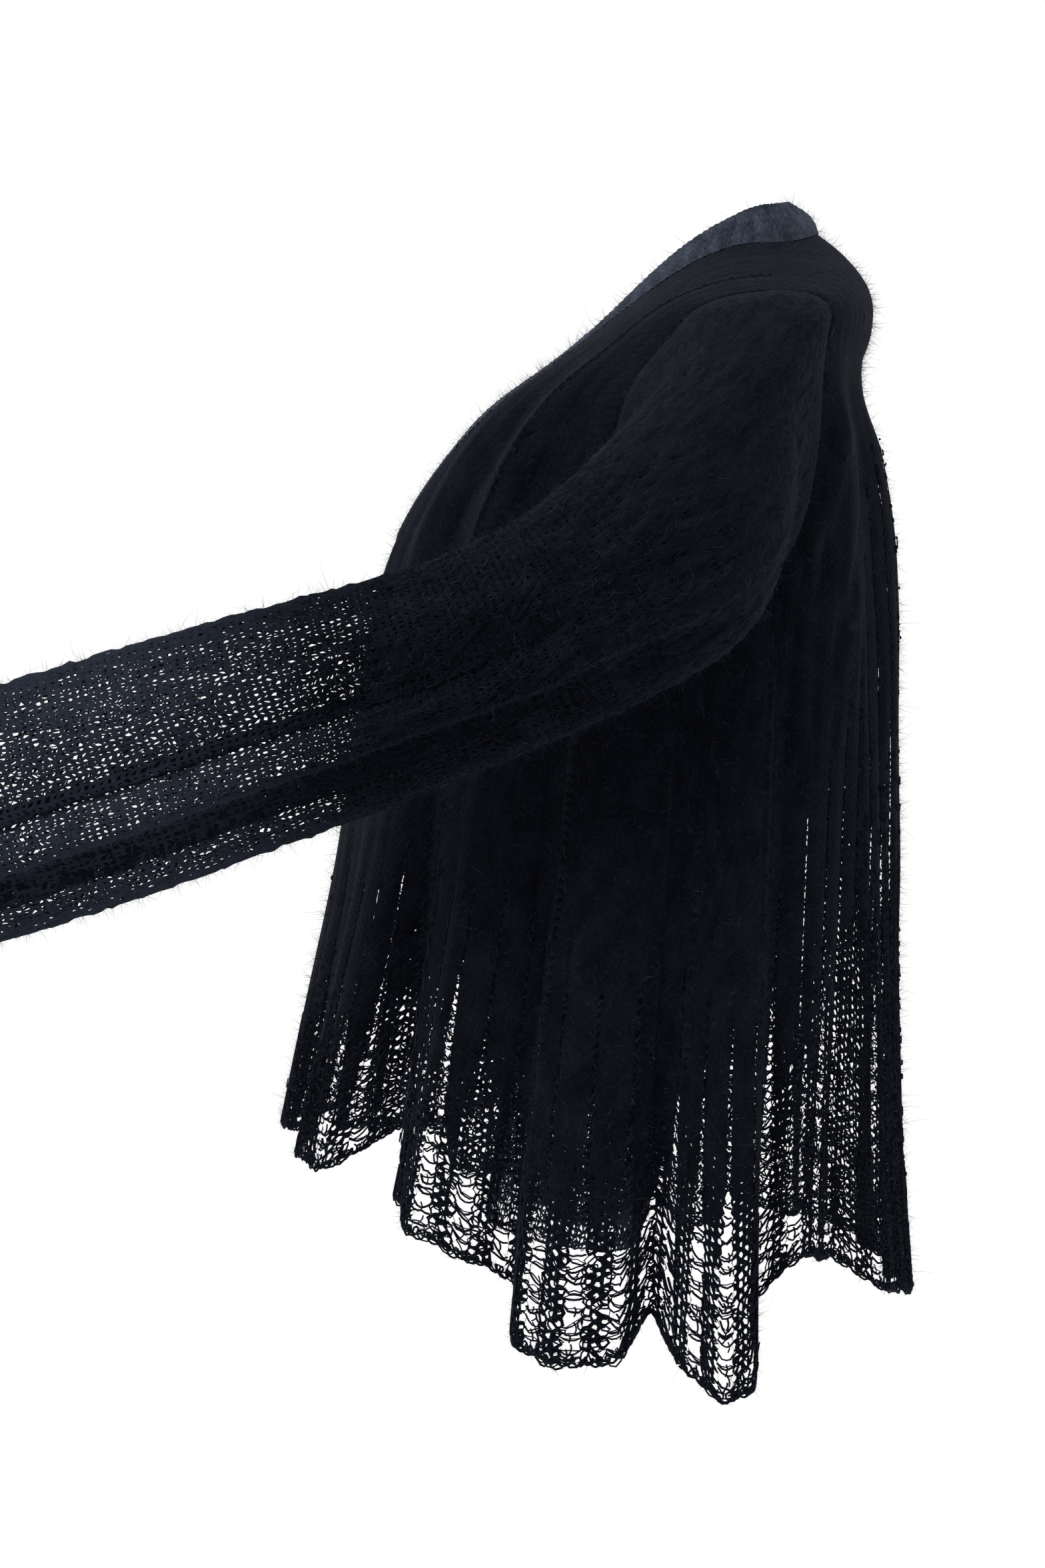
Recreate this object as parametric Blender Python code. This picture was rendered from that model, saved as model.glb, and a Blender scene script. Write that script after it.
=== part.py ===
"""Mohair cardigan in worn form: swing body in ladder rib, open front, two plain sleeves and a neckband.

Metres, +Z up. The wearer faces -Y and the wearer's left is +X. The origin is the middle of the
shoulder line at the base of the neck, where the wearer carries the garment.
"""

import math
from collections import namedtuple

import bmesh
import bpy
import numpy as np

WALL = 0.0020            # thickness of the brushed knit
RIB_RISE = 0.0010        # how far a rib stands out from the ladders beside it
SEAM_GAP = 0.0004        # clear space between two panels at a seam
ARMHOLE_GAP = 0.0009     # clear space between an armhole and a sleeve's first ring
ARMHOLE_STEP = 0.0012    # how far out of the armhole a sleeve starts

CHEST_Z = -0.100         # above this height the ribs run straight up to the shoulder
NECK_HALF_WIDTH = 0.072  # neckline at the shoulder seam
NECK_BACK_Z = 0.017      # neckline at the middle of the back
V_POINT_Z = -0.165       # neckline where the two fronts start
V_CURVE = 1.25
NECK_BACK_CURVE = 2.2
FRONT_OPEN_DEG = 2.5     # each front edge keeps this far from the middle
FRONT_ROUND = 0.85       # roundness of a body section before and behind the side seam
BACK_ROUND = 0.82

ARMHOLE_DEG = 62.0       # angle from the front or the back where an armhole starts at the shoulder
UNDERARM_Z = -0.200
ARMHOLE_CURVE = 3.0

FRONT_LADDERS = 18       # ladders in each front; the back has twice as many
HEM_ROWS = 8             # short rows that hold the open ladder gaps above the hem
HEM_ROW = 0.0078
UPPER_ROWS = 7
UPPER_CROWD = 2.4        # crowds the upper rows towards the shoulder
GAP_WIDE = 0.62          # part of the way to the next rib that a gap takes
GAP_HIGH = 0.70          # part of the way to the next row that a gap takes

FLUTE_TOP_Z = -0.190     # the hem's flutes fade out here
FLUTE_GROWTH = 1.35
CHEST_FOLD_TOP_Z = -0.030
CHEST_FOLD_LOW_Z = -0.330
CHEST_FOLD_START = 0.060 # height over which the chest folds grow
CHEST_FOLD_END = 0.160   # height over which they die away
SPACING_Z = -0.580       # the ribs are evenly spaced round the body at this height
SLOPE_STEP_DEG = 0.15    # steps for the direction of the cloth
SLOPE_STEP = 0.002

SLEEVE_POINTS = 24
BAND_WIDTH = 0.026
BAND_SAMPLES = 13        # sections of the neckband from the V point to a shoulder seam
BAND_MITRE = 0.006       # the two ends of the neckband keep this far from the middle
BAND_STAND = 0.45        # how much the neckband stands up from the slope of the panel at the back
BAND_LIE_Z = -0.070      # below this height the neckband lies in the slope of the panel

BodySection = namedtuple("BodySection", "z half_width front back side")
BODY = [
    BodySection(0.024, 0.046, 0.006, 0.056, 0.035),
    BodySection(0.000, 0.078, -0.018, 0.084, 0.035),
    BodySection(-0.020, 0.120, -0.040, 0.096, 0.034),
    BodySection(-0.045, 0.168, -0.070, 0.096, 0.032),
    BodySection(-0.065, 0.175, -0.097, 0.090, 0.028),
    BodySection(-0.085, 0.178, -0.124, 0.089, 0.023),
    BodySection(-0.120, 0.178, -0.156, 0.099, 0.015),
    BodySection(-0.160, 0.174, -0.181, 0.107, 0.008),
    BodySection(-0.200, 0.168, -0.195, 0.111, 0.002),
    BodySection(-0.280, 0.170, -0.208, 0.112, -0.006),
    BodySection(-0.360, 0.188, -0.219, 0.111, -0.012),
    BodySection(-0.440, 0.214, -0.234, 0.110, -0.018),
    BodySection(-0.530, 0.243, -0.250, 0.109, -0.024),
    BodySection(-0.640, 0.272, -0.268, 0.112, -0.030),
]

# Crests and valleys of the hem, by angle from the front towards the wearer's left, with the
# distance they stand out from the plain section and the height of the hem there.
Flute = namedtuple("Flute", "around out hem_z")
FLUTES = [
    Flute(-180, 0.008, -0.600),
    Flute(-168, -0.012, -0.592),
    Flute(-153, 0.014, -0.602),
    Flute(-138, -0.013, -0.584),
    Flute(-122, 0.016, -0.598),
    Flute(-110, -0.014, -0.580),
    Flute(-104, 0.008, -0.606),
    Flute(-99, 0.018, -0.612),
    Flute(-91, -0.016, -0.588),
    Flute(-84, 0.018, -0.610),
    Flute(-78, 0.006, -0.600),
    Flute(-74, -0.014, -0.570),
    Flute(-64, 0.016, -0.570),
    Flute(-52, -0.014, -0.532),
    Flute(-37, 0.015, -0.532),
    Flute(-21, -0.010, -0.512),
    Flute(-8, 0.008, -0.514),
    Flute(9, 0.006, -0.511),
    Flute(20, -0.005, -0.509),
    Flute(29, 0.014, -0.519),
    Flute(37, 0.016, -0.523),
    Flute(45.5, -0.019, -0.498),
    Flute(49, -0.006, -0.538),
    Flute(57.5, 0.015, -0.550),
    Flute(65.5, 0.002, -0.564),
    Flute(69.5, -0.016, -0.574),
    Flute(73, 0.010, -0.604),
    Flute(78.5, 0.022, -0.610),
    Flute(84, 0.012, -0.610),
    Flute(87.5, -0.020, -0.590),
    Flute(91, 0.008, -0.616),
    Flute(95, 0.023, -0.627),
    Flute(99, 0.016, -0.625),
    Flute(106, -0.020, -0.582),
    Flute(116, -0.006, -0.562),
    Flute(128, -0.012, -0.566),
    Flute(140, 0.008, -0.588),
    Flute(150, 0.012, -0.593),
    Flute(165, -0.008, -0.589),
]

# Soft folds that run down from the neckband and the shoulders.
ChestFold = namedtuple("ChestFold", "around out")
CHEST_FOLDS = [
    ChestFold(-180, -0.002),
    ChestFold(-160, 0.005),
    ChestFold(-144, -0.004),
    ChestFold(-131, 0.003),
    ChestFold(-110, 0.000),
    ChestFold(-70, 0.000),
    ChestFold(-55, 0.004),
    ChestFold(-45, -0.005),
    ChestFold(-34, 0.006),
    ChestFold(-22, -0.003),
    ChestFold(-8, 0.002),
    ChestFold(8, 0.002),
    ChestFold(19, -0.004),
    ChestFold(29, 0.006),
    ChestFold(39, -0.006),
    ChestFold(48, 0.006),
    ChestFold(57, -0.004),
    ChestFold(72, 0.000),
    ChestFold(112, 0.000),
    ChestFold(126, 0.004),
    ChestFold(139, -0.004),
    ChestFold(152, 0.005),
    ChestFold(168, -0.003),
]

# Sleeve sections from the armhole to the cuff. blend is the share of the oval in a section,
# the rest keeps the armhole's form; half_top and half_fore are the oval's two half sizes.
SleeveSection = namedtuple("SleeveSection", "x y z half_top half_fore blend fold")
LEFT_SLEEVE = [
    SleeveSection(0.170, 0.000, -0.120, 0.078, 0.068, 0.00, 0.0),
    SleeveSection(0.190, -0.001, -0.124, 0.078, 0.066, 0.10, 0.0),
    SleeveSection(0.213, -0.009, -0.146, 0.072, 0.060, 0.40, 0.1),
    SleeveSection(0.233, -0.034, -0.182, 0.063, 0.053, 0.75, 0.3),
    SleeveSection(0.244, -0.074, -0.215, 0.057, 0.047, 1.00, 0.6),
    SleeveSection(0.249, -0.118, -0.238, 0.055, 0.043, 1.00, 0.8),
    SleeveSection(0.250, -0.165, -0.256, 0.056, 0.041, 1.00, 1.0),
    SleeveSection(0.248, -0.213, -0.272, 0.059, 0.040, 1.00, 1.0),
    SleeveSection(0.246, -0.261, -0.287, 0.061, 0.040, 1.00, 1.0),
    SleeveSection(0.243, -0.309, -0.303, 0.063, 0.040, 1.00, 1.0),
    SleeveSection(0.240, -0.357, -0.318, 0.064, 0.040, 1.00, 1.0),
    SleeveSection(0.237, -0.405, -0.333, 0.064, 0.040, 1.00, 0.8),
    SleeveSection(0.234, -0.452, -0.347, 0.060, 0.040, 1.00, 0.4),
]
RIGHT_SLEEVE = [
    SleeveSection(-0.170, 0.000, -0.120, 0.078, 0.068, 0.00, 0.0),
    SleeveSection(-0.190, -0.002, -0.123, 0.078, 0.068, 0.10, 0.0),
    SleeveSection(-0.222, -0.006, -0.148, 0.073, 0.069, 0.45, 0.1),
    SleeveSection(-0.250, -0.012, -0.195, 0.064, 0.069, 0.80, 0.4),
    SleeveSection(-0.269, -0.019, -0.250, 0.058, 0.069, 1.00, 0.8),
    SleeveSection(-0.281, -0.026, -0.300, 0.055, 0.069, 1.00, 1.0),
    SleeveSection(-0.293, -0.034, -0.350, 0.053, 0.069, 1.00, 1.0),
    SleeveSection(-0.305, -0.042, -0.400, 0.051, 0.068, 1.00, 1.0),
    SleeveSection(-0.316, -0.050, -0.450, 0.050, 0.067, 1.00, 0.9),
    SleeveSection(-0.327, -0.059, -0.500, 0.048, 0.065, 1.00, 0.8),
    SleeveSection(-0.337, -0.068, -0.550, 0.046, 0.063, 1.00, 0.7),
    SleeveSection(-0.344, -0.076, -0.590, 0.045, 0.061, 1.00, 0.5),
    SleeveSection(-0.350, -0.083, -0.622, 0.044, 0.059, 1.00, 0.4),
]

# The direction that counts as a sleeve's top all along it.
LEFT_TOP = (0.0, 0.0, 1.0)
RIGHT_TOP = (-0.7, 0.0, 0.7)

# Lengthwise folds of a sleeve, by angle from its top towards its front.
SleeveFold = namedtuple("SleeveFold", "angle out")
LEFT_SLEEVE_FOLDS = [
    SleeveFold(0, 0.002),
    SleeveFold(45, -0.003),
    SleeveFold(90, 0.003),
    SleeveFold(135, -0.006),
    SleeveFold(165, 0.003),
    SleeveFold(200, 0.004),
    SleeveFold(226, -0.009),
    SleeveFold(246, 0.006),
    SleeveFold(267, -0.008),
    SleeveFold(292, 0.004),
    SleeveFold(330, -0.001),
]
RIGHT_SLEEVE_FOLDS = [
    SleeveFold(0, -0.004),
    SleeveFold(40, 0.004),
    SleeveFold(75, -0.007),
    SleeveFold(105, 0.004),
    SleeveFold(150, -0.002),
    SleeveFold(200, 0.003),
    SleeveFold(240, -0.007),
    SleeveFold(275, 0.004),
    SleeveFold(320, 0.002),
]

MOHAIR = (0.012, 0.013, 0.018, 1.0)
MOHAIR_BAND = (0.030, 0.032, 0.040, 1.0)


def unit(vectors):
    """Vectors of length one."""
    return vectors / np.linalg.norm(vectors, axis=-1, keepdims=True)


def section_curve(rows, name):
    """Smooth curve through one column of a table of sections, as a function of height."""
    z = np.array([row.z for row in rows])[::-1]
    value = np.array([getattr(row, name) for row in rows])[::-1]
    slope = np.gradient(value, z)

    def at(height):
        k = int(np.clip(np.searchsorted(z, height) - 1, 0, len(z) - 2))
        span = z[k + 1] - z[k]
        t = (height - z[k]) / span
        start = (1 + 2 * t) * (1 - t) ** 2 * value[k] + t * (1 - t) ** 2 * span * slope[k]
        end = t * t * (3 - 2 * t) * value[k + 1] + t * t * (t - 1) * span * slope[k + 1]
        return start + end

    return at


HALF_WIDTH = section_curve(BODY, "half_width")
FRONT = section_curve(BODY, "front")
BACK = section_curve(BODY, "back")
SIDE = section_curve(BODY, "side")


def ring_curve(rows, key, name):
    """Wave through one column of a table of crests and valleys, closed after 360 degrees."""
    start = np.array([getattr(row, key) for row in rows], dtype=float)
    angle = np.append(start, start[0] + 360)
    value = np.array([getattr(row, name) for row in rows], dtype=float)
    value = np.append(value, value[0])

    def at(degrees):
        degrees = (degrees - angle[0]) % 360 + angle[0]
        k = int(np.clip(np.searchsorted(angle, degrees, side="right") - 1, 0, len(angle) - 2))
        t = (degrees - angle[k]) / (angle[k + 1] - angle[k])
        return value[k] + (value[k + 1] - value[k]) * (1 - math.cos(math.pi * t)) / 2

    return at


FLUTE_OUT = ring_curve(FLUTES, "around", "out")
HEM_Z = ring_curve(FLUTES, "around", "hem_z")
CHEST_OUT = ring_curve(CHEST_FOLDS, "around", "out")


def smoothstep(t):
    """Ease from 0 to 1."""
    t = min(max(t, 0.0), 1.0)
    return t * t * (3 - 2 * t)


def fold_out(around, z):
    """How far the folds move the cloth out at an angle and a height."""
    lowest = HEM_Z(around)
    flute = min(max((FLUTE_TOP_Z - z) / (FLUTE_TOP_Z - lowest), 0.0), 1.1) ** FLUTE_GROWTH
    rise = smoothstep((CHEST_FOLD_TOP_Z - z) / CHEST_FOLD_START)
    fall = smoothstep((z - CHEST_FOLD_LOW_Z) / CHEST_FOLD_END)
    return FLUTE_OUT(around) * flute + CHEST_OUT(around) * rise * fall


def quarter(around):
    """Side (+1 the wearer's left), front or back, and the angle from the middle of it."""
    around = (around + 180) % 360 - 180
    hand = 1.0 if around >= 0 else -1.0
    if abs(around) <= 90:
        return hand, -1.0, math.radians(abs(around))
    return hand, 1.0, math.radians(180 - abs(around))


def body_point(around, z):
    """Point of the body's cloth at an angle from the front and a height."""
    hand, face, angle = quarter(around)
    half_width, side = HALF_WIDTH(z), SIDE(z)
    if z > CHEST_Z:
        angle = math.asin(min(HALF_WIDTH(CHEST_Z) * math.sin(angle) / half_width, 1.0))
    reach = abs((FRONT(z) if face < 0 else BACK(z)) - side)
    roundness = FRONT_ROUND if face < 0 else BACK_ROUND
    cosine = max(math.cos(angle), 0.0)
    out = np.array([roundness * reach * math.sin(angle), half_width * cosine ** (2 - roundness)])
    out = unit(out) * fold_out(around, z)
    x = half_width * math.sin(angle) + out[0]
    y = reach * cosine ** roundness + out[1]
    return np.array([hand * x, side + face * y, z])


def body_normal(around, z, top):
    """Direction out of the body's cloth at an angle and a height."""
    high = min(z + SLOPE_STEP / 2, top)
    across = body_point(around + SLOPE_STEP_DEG, z) - body_point(around - SLOPE_STEP_DEG, z)
    along = body_point(around, high) - body_point(around, high - SLOPE_STEP)
    return unit(np.cross(across, along))


def shoulder_height(x):
    """Height of the shoulder seam at a distance from the middle."""
    heights = np.linspace(BODY[0].z, CHEST_Z, 400)
    return float(np.interp(x, [HALF_WIDTH(z) for z in heights], heights))


def column_top(around):
    """Height where a rib ends on the neckline, the shoulder seam or the armhole, and which it is."""
    _, face, angle = quarter(around)
    x = HALF_WIDTH(CHEST_Z) * math.sin(angle)
    armhole = math.radians(ARMHOLE_DEG)
    neck_point = shoulder_height(NECK_HALF_WIDTH)
    if x < NECK_HALF_WIDTH and face < 0:
        open_x = HALF_WIDTH(CHEST_Z) * math.sin(math.radians(FRONT_OPEN_DEG))
        part = 1 - (x - open_x) / (NECK_HALF_WIDTH - open_x)
        return neck_point + (V_POINT_Z - neck_point) * max(part, 0.0) ** V_CURVE, "neck"
    if x < NECK_HALF_WIDTH:
        part = (x / NECK_HALF_WIDTH) ** NECK_BACK_CURVE
        return NECK_BACK_Z + (neck_point - NECK_BACK_Z) * part, "neck"
    if angle <= armhole + 1e-6:
        return shoulder_height(x), "shoulder"
    tip = shoulder_height(HALF_WIDTH(CHEST_Z) * math.sin(armhole))
    part = (angle - armhole) / (math.pi / 2 - armhole)
    return UNDERARM_Z + (tip - UNDERARM_Z) * (1 - part) ** ARMHOLE_CURVE, "armhole"


def shoulder_edge(around):
    """Point and direction out on the shoulder seam, half a seam gap from the other panel."""
    hand, face, angle = quarter(around)
    x = HALF_WIDTH(CHEST_Z) * math.sin(angle)
    z = shoulder_height(x)
    slope = (shoulder_height(x + SLOPE_STEP) - shoulder_height(x - SLOPE_STEP)) / (2 * SLOPE_STEP)
    point = np.array([hand * x, SIDE(z) + face * SEAM_GAP / 2, z])
    return point, unit(np.array([-hand * slope, 0.0, 1.0]))


def panel_grid(first, last, count):
    """Points and outward directions of a panel, column by column and from the hem up."""
    fine = np.linspace(first, last, 1500)
    hem = np.array([body_point(a, SPACING_Z)[:2] for a in fine])
    run = np.append(0, np.cumsum(np.linalg.norm(np.diff(hem, axis=0), axis=1)))
    gap = SEAM_GAP / 2 / run[-1]
    columns = np.interp(np.linspace(gap, 1 - gap, count) * run[-1], run, fine)
    for tip in (ARMHOLE_DEG, -ARMHOLE_DEG, 180 - ARMHOLE_DEG, 180 + ARMHOLE_DEG):
        if first < tip < last:
            columns[np.argmin(abs(columns - tip))] = tip
    points, normals = [], []
    for around in columns:
        top, edge = column_top(around)
        heights = [HEM_Z(around) + HEM_ROW * k for k in range(HEM_ROWS + 1)]
        for k in range(UPPER_ROWS - 1, -1, -1):
            heights.append(top - (top - heights[HEM_ROWS]) * (k / UPPER_ROWS) ** UPPER_CROWD)
        column = [body_point(around, z) for z in heights]
        outward = [body_normal(around, z, top) for z in heights]
        if edge == "shoulder":
            column[-1], outward[-1] = shoulder_edge(around)
        points.append(column)
        normals.append(outward)
    return np.array(points), np.array(normals), columns


class Wall:
    """Closed wall between an outer and an inner sheet of points that share their faces."""

    def __init__(self):
        self.mesh = bmesh.new()

    def point(self, outer, inner):
        """A pair of points through the wall."""
        return self.mesh.verts.new(outer), self.mesh.verts.new(inner)

    def cell(self, corners):
        """A face on both sides of the wall; corners run anticlockwise seen from outside."""
        self.mesh.faces.new([pair[0] for pair in corners])
        self.mesh.faces.new([pair[1] for pair in reversed(corners)])

    def rim(self, pairs, closed=False):
        """The wall's edge along a row of pairs, with the cloth to the left of the row."""
        following = pairs[1:] + (pairs[:1] if closed else [])
        for here, there in zip(pairs, following):
            self.mesh.faces.new([there[0], here[0], here[1], there[1]])

    def finish(self, name, colour):
        """A named object with its own material."""
        data = bpy.data.meshes.new(name)
        self.mesh.to_mesh(data)
        self.mesh.free()
        material = bpy.data.materials.new(name + "_mohair")
        material.use_nodes = True
        shader = material.node_tree.nodes["Principled BSDF"]
        shader.inputs["Base Color"].default_value = colour
        shader.inputs["Roughness"].default_value = 0.9
        data.materials.append(material)
        item = bpy.data.objects.new(name, data)
        bpy.context.scene.collection.objects.link(item)
        return item


def make_panel(name, grid):
    """A body panel: raised ribs, with the ladder gaps cut through above the hem."""
    points, normals, _ = grid
    wide, high = points.shape[:2]
    rise = np.zeros((wide, high))
    rise[2:-2:2, :-2] = RIB_RISE
    outer = points + normals * rise[..., None]
    inner = points - normals * WALL
    wall = Wall()
    gaps = {(c, r) for c in range(1, wide, 2) for r in range(1, HEM_ROWS, 2)}
    pairs = {}
    for c in range(wide):
        for r in range(high):
            if (c, r) not in gaps:
                pairs[c, r] = wall.point(outer[c, r], inner[c, r])

    def part_way(here, there, share):
        return wall.point(
            outer[here] + (outer[there] - outer[here]) * share,
            inner[here] + (inner[there] - inner[here]) * share,
        )

    lips = {}
    for c, r in sorted(gaps):
        lips[c, r] = {
            "left": part_way((c, r), (c - 1, r), GAP_WIDE),
            "right": part_way((c, r), (c + 1, r), GAP_WIDE),
            "down": part_way((c, r), (c, r - 1), GAP_HIGH),
            "up": part_way((c, r), (c, r + 1), GAP_HIGH),
        }
        ring = [lips[c, r][side] for side in ("left", "up", "right", "down")]
        wall.rim(ring, closed=True)
    # The two lip points that stand in for a gap's own corner, by its place in the cell.
    cut = [("up", "right"), ("left", "up"), ("down", "left"), ("right", "down")]
    for c in range(wide - 1):
        for r in range(high - 1):
            corners = []
            for place, spot in enumerate([(c, r), (c + 1, r), (c + 1, r + 1), (c, r + 1)]):
                if spot in gaps:
                    corners += [lips[spot][side] for side in cut[place]]
                else:
                    corners.append(pairs[spot])
            wall.cell(corners)
    around = [(c, 0) for c in range(wide)] + [(wide - 1, r) for r in range(1, high)]
    around += [(c, high - 1) for c in range(wide - 2, -1, -1)] + [(0, r) for r in range(high - 2, 0, -1)]
    wall.rim([pairs[spot] for spot in around], closed=True)
    return wall.finish(name, MOHAIR)


def armhole_edge(grid, from_side):
    """A panel's edge points on one armhole, from the shoulder down to the side seam."""
    points, _, columns = grid
    order = range(len(columns)) if from_side == "first" else range(len(columns) - 1, -1, -1)
    edge = []
    for c in order:
        edge.append(points[c, -1])
        if column_top(columns[c])[1] != "armhole":
            break
    return edge[::-1]


def armhole_ring(hand, grids):
    """Points just inside an armhole: top, front, underarm, back; evenly spaced."""
    if hand > 0:
        front = armhole_edge(grids["front_left"], "last")
        back = armhole_edge(grids["back"], "first")
    else:
        front = armhole_edge(grids["front_right"], "first")
        back = armhole_edge(grids["back"], "last")
    front[0] = back[0] = (front[0] + back[0]) / 2
    halves = []
    for edge in (np.array(front), np.array(back[::-1])):
        run = np.append(0, np.cumsum(np.linalg.norm(np.diff(edge, axis=0), axis=1)))
        spots = np.linspace(0, run[-1], SLEEVE_POINTS // 2 + 1)[:-1]
        halves.append(np.stack([np.interp(spots, run, edge[:, k]) for k in range(3)], axis=1))
    ring = np.vstack(halves)
    ring += unit(ring.mean(axis=0) - ring) * ARMHOLE_GAP
    ring[:, 0] += hand * ARMHOLE_STEP
    return ring


def sleeve_rings(table, folds, hand, upward, grids):
    """Rings of a sleeve's cloth from the armhole to the cuff."""
    centres = np.array([[row.x, row.y, row.z] for row in table])
    tangents = unit(np.gradient(centres, axis=0))
    armhole = armhole_ring(hand, grids)
    fold = ring_curve(folds, "angle", "out")
    rings = []
    for row, centre, tangent in zip(table, centres, tangents):
        top = unit(upward - tangent * np.dot(upward, tangent))
        fore = hand * np.cross(tangent, top)
        ring = []
        for k in range(SLEEVE_POINTS):
            angle = 2 * math.pi * k / SLEEVE_POINTS
            radial = top * math.cos(angle) * row.half_top + fore * math.sin(angle) * row.half_fore
            oval = centre + radial + unit(radial) * fold(math.degrees(angle)) * row.fold
            kept = armhole[k] + centre - centres[0]
            ring.append(kept + (oval - kept) * row.blend)
        rings.append(ring)
    return np.array(rings)


def make_sleeve(name, table, folds, hand, upward, grids):
    """A sleeve: an open tube of cloth from the armhole to the cuff."""
    points = sleeve_rings(table, folds, hand, np.array(upward), grids)
    along = np.gradient(points, axis=0)
    around = np.roll(points, -1, axis=1) - np.roll(points, 1, axis=1)
    outward = unit(np.cross(around, along)) * -hand
    wall = Wall()
    pairs = []
    for row, directions in zip(points, outward):
        pairs.append([wall.point(p, p - n * WALL) for p, n in zip(row, directions)])
    count = SLEEVE_POINTS
    for lower, upper in zip(pairs, pairs[1:]):
        for k in range(count):
            corners = [lower[k], lower[(k + 1) % count], upper[(k + 1) % count], upper[k]]
            wall.cell(corners if hand < 0 else corners[::-1])
    start, end = pairs[0], pairs[-1]
    wall.rim(start if hand < 0 else start[::-1], closed=True)
    wall.rim(end[::-1] if hand < 0 else end, closed=True)
    return wall.finish(name, MOHAIR)


def band_seam():
    """Points of the neckline from the left V point round the back to the right one."""
    limit = math.degrees(math.asin(NECK_HALF_WIDTH / HALF_WIDTH(CHEST_Z))) - 0.02
    front = np.linspace(FRONT_OPEN_DEG, limit, BAND_SAMPLES)
    back = np.linspace(180 - limit, 180, BAND_SAMPLES)
    half = np.append(front, back)
    every = np.append(half, -half[-2::-1])
    seam, outward = [], []
    for around in every:
        top, _ = column_top(around)
        seam.append(body_point(around, top))
        outward.append(body_normal(around, top, top))
    return np.array(seam), np.array(outward)


def make_neckband():
    """The neckband: a strip that stands on the neckline and ends in a mitre at the V point."""
    seam, outward = band_seam()
    tangent = unit(np.gradient(seam, axis=0))
    inward = unit(np.cross(outward, tangent))
    inward *= np.where(inward[:, 2:] < 0, -1.0, 1.0)
    stand = np.array([BAND_STAND * smoothstep(1 - point[2] / BAND_LIE_Z) for point in seam])
    rise = unit(inward + stand[:, None] * np.array([0.0, 0.0, 1.0]))
    rows = []
    for share in (0.0, 0.5, 1.0):
        row = seam + inward * SEAM_GAP + rise * BAND_WIDTH * share
        limit = np.where(np.arange(len(row)) < len(row) / 2, 1.0, -1.0)
        row[:, 0] = limit * np.maximum(limit * row[:, 0], BAND_MITRE)
        rows.append(row)
    points = np.array(rows)
    along = np.gradient(points, axis=1)
    across = np.gradient(points, axis=0)
    normals = unit(np.cross(along, across))
    wall = Wall()
    pairs = []
    for row, directions in zip(points, normals):
        pairs.append([wall.point(p, p - n * WALL) for p, n in zip(row, directions)])
    for lower, upper in zip(pairs, pairs[1:]):
        for k in range(len(lower) - 1):
            wall.cell([lower[k], lower[k + 1], upper[k + 1], upper[k]])
    ends = [row[-1] for row in pairs[1:-1]] + pairs[-1][::-1] + [row[0] for row in pairs[-2:0:-1]]
    wall.rim(pairs[0] + ends, closed=True)
    return wall.finish("neckband", MOHAIR_BAND)


for leftover in list(bpy.data.objects):
    bpy.data.objects.remove(leftover)
panel_grids = {
    "front_left": panel_grid(FRONT_OPEN_DEG, 90, 2 * FRONT_LADDERS + 1),
    "front_right": panel_grid(-90, -FRONT_OPEN_DEG, 2 * FRONT_LADDERS + 1),
    "back": panel_grid(90, 270, 4 * FRONT_LADDERS + 1),
}
for panel_name, panel_points in panel_grids.items():
    make_panel(panel_name, panel_points)
make_sleeve("sleeve_left", LEFT_SLEEVE, LEFT_SLEEVE_FOLDS, 1.0, LEFT_TOP, panel_grids)
make_sleeve("sleeve_right", RIGHT_SLEEVE, RIGHT_SLEEVE_FOLDS, -1.0, RIGHT_TOP, panel_grids)
make_neckband()
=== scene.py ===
"""Looks of the mohair cardigan: a ladder-rib body, two sheer sleeves, a neckband, seams and a halo.

Metres, +Z up. The wearer faces -Y and the wearer's left is +X, as in the solids.
"""

import math
from collections import namedtuple

import bpy
import numpy as np
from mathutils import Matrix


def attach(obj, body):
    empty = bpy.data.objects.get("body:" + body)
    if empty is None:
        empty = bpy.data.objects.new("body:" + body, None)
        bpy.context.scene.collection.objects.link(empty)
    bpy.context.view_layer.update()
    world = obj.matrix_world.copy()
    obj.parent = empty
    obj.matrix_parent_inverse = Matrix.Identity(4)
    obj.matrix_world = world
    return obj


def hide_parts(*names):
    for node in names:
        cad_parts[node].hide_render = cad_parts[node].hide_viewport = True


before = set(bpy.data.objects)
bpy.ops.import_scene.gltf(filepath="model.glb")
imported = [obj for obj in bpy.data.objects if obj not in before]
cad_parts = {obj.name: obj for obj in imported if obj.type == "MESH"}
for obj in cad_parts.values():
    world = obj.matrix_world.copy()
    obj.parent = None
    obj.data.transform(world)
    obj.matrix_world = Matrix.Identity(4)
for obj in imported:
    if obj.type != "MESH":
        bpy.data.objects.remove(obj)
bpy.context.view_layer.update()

# Form of the garment, as in the solids. Here the seams are drawn shut, the chest folds start lower
# and the heads of the sleeves draw in.
CHEST_Z = -0.100         # above this height the ribs run straight up
NECK_HALF_WIDTH = 0.072  # the neckline: half its width, its heights and how it curves
NECK_BACK_Z = 0.017
V_POINT_Z = -0.165
V_CURVE = 1.25
NECK_BACK_CURVE = 2.2
FRONT_OPEN_DEG = 2.5     # each front edge keeps this far from the middle
FRONT_ROUND = 0.85       # how round the sections are
BACK_ROUND = 0.82
ARMHOLE_DEG = 62.0       # the armhole: angle of its top, its lowest point, its curve and its middle
UNDERARM_Z = -0.200
ARMHOLE_CURVE = 3.0
ARMHOLE_MIDDLE = np.array([0.165, 0.0, -0.115])
ARMHOLE_LAP = 0.0010     # a sleeve starts this far under the armhole's edge
ARMHOLE_SINK = 0.0003    # and this far inside it
FLUTE_TOP_Z = -0.190     # the flutes start at this height
FLUTE_GROWTH = 1.35      # how they grow towards the hem
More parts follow.
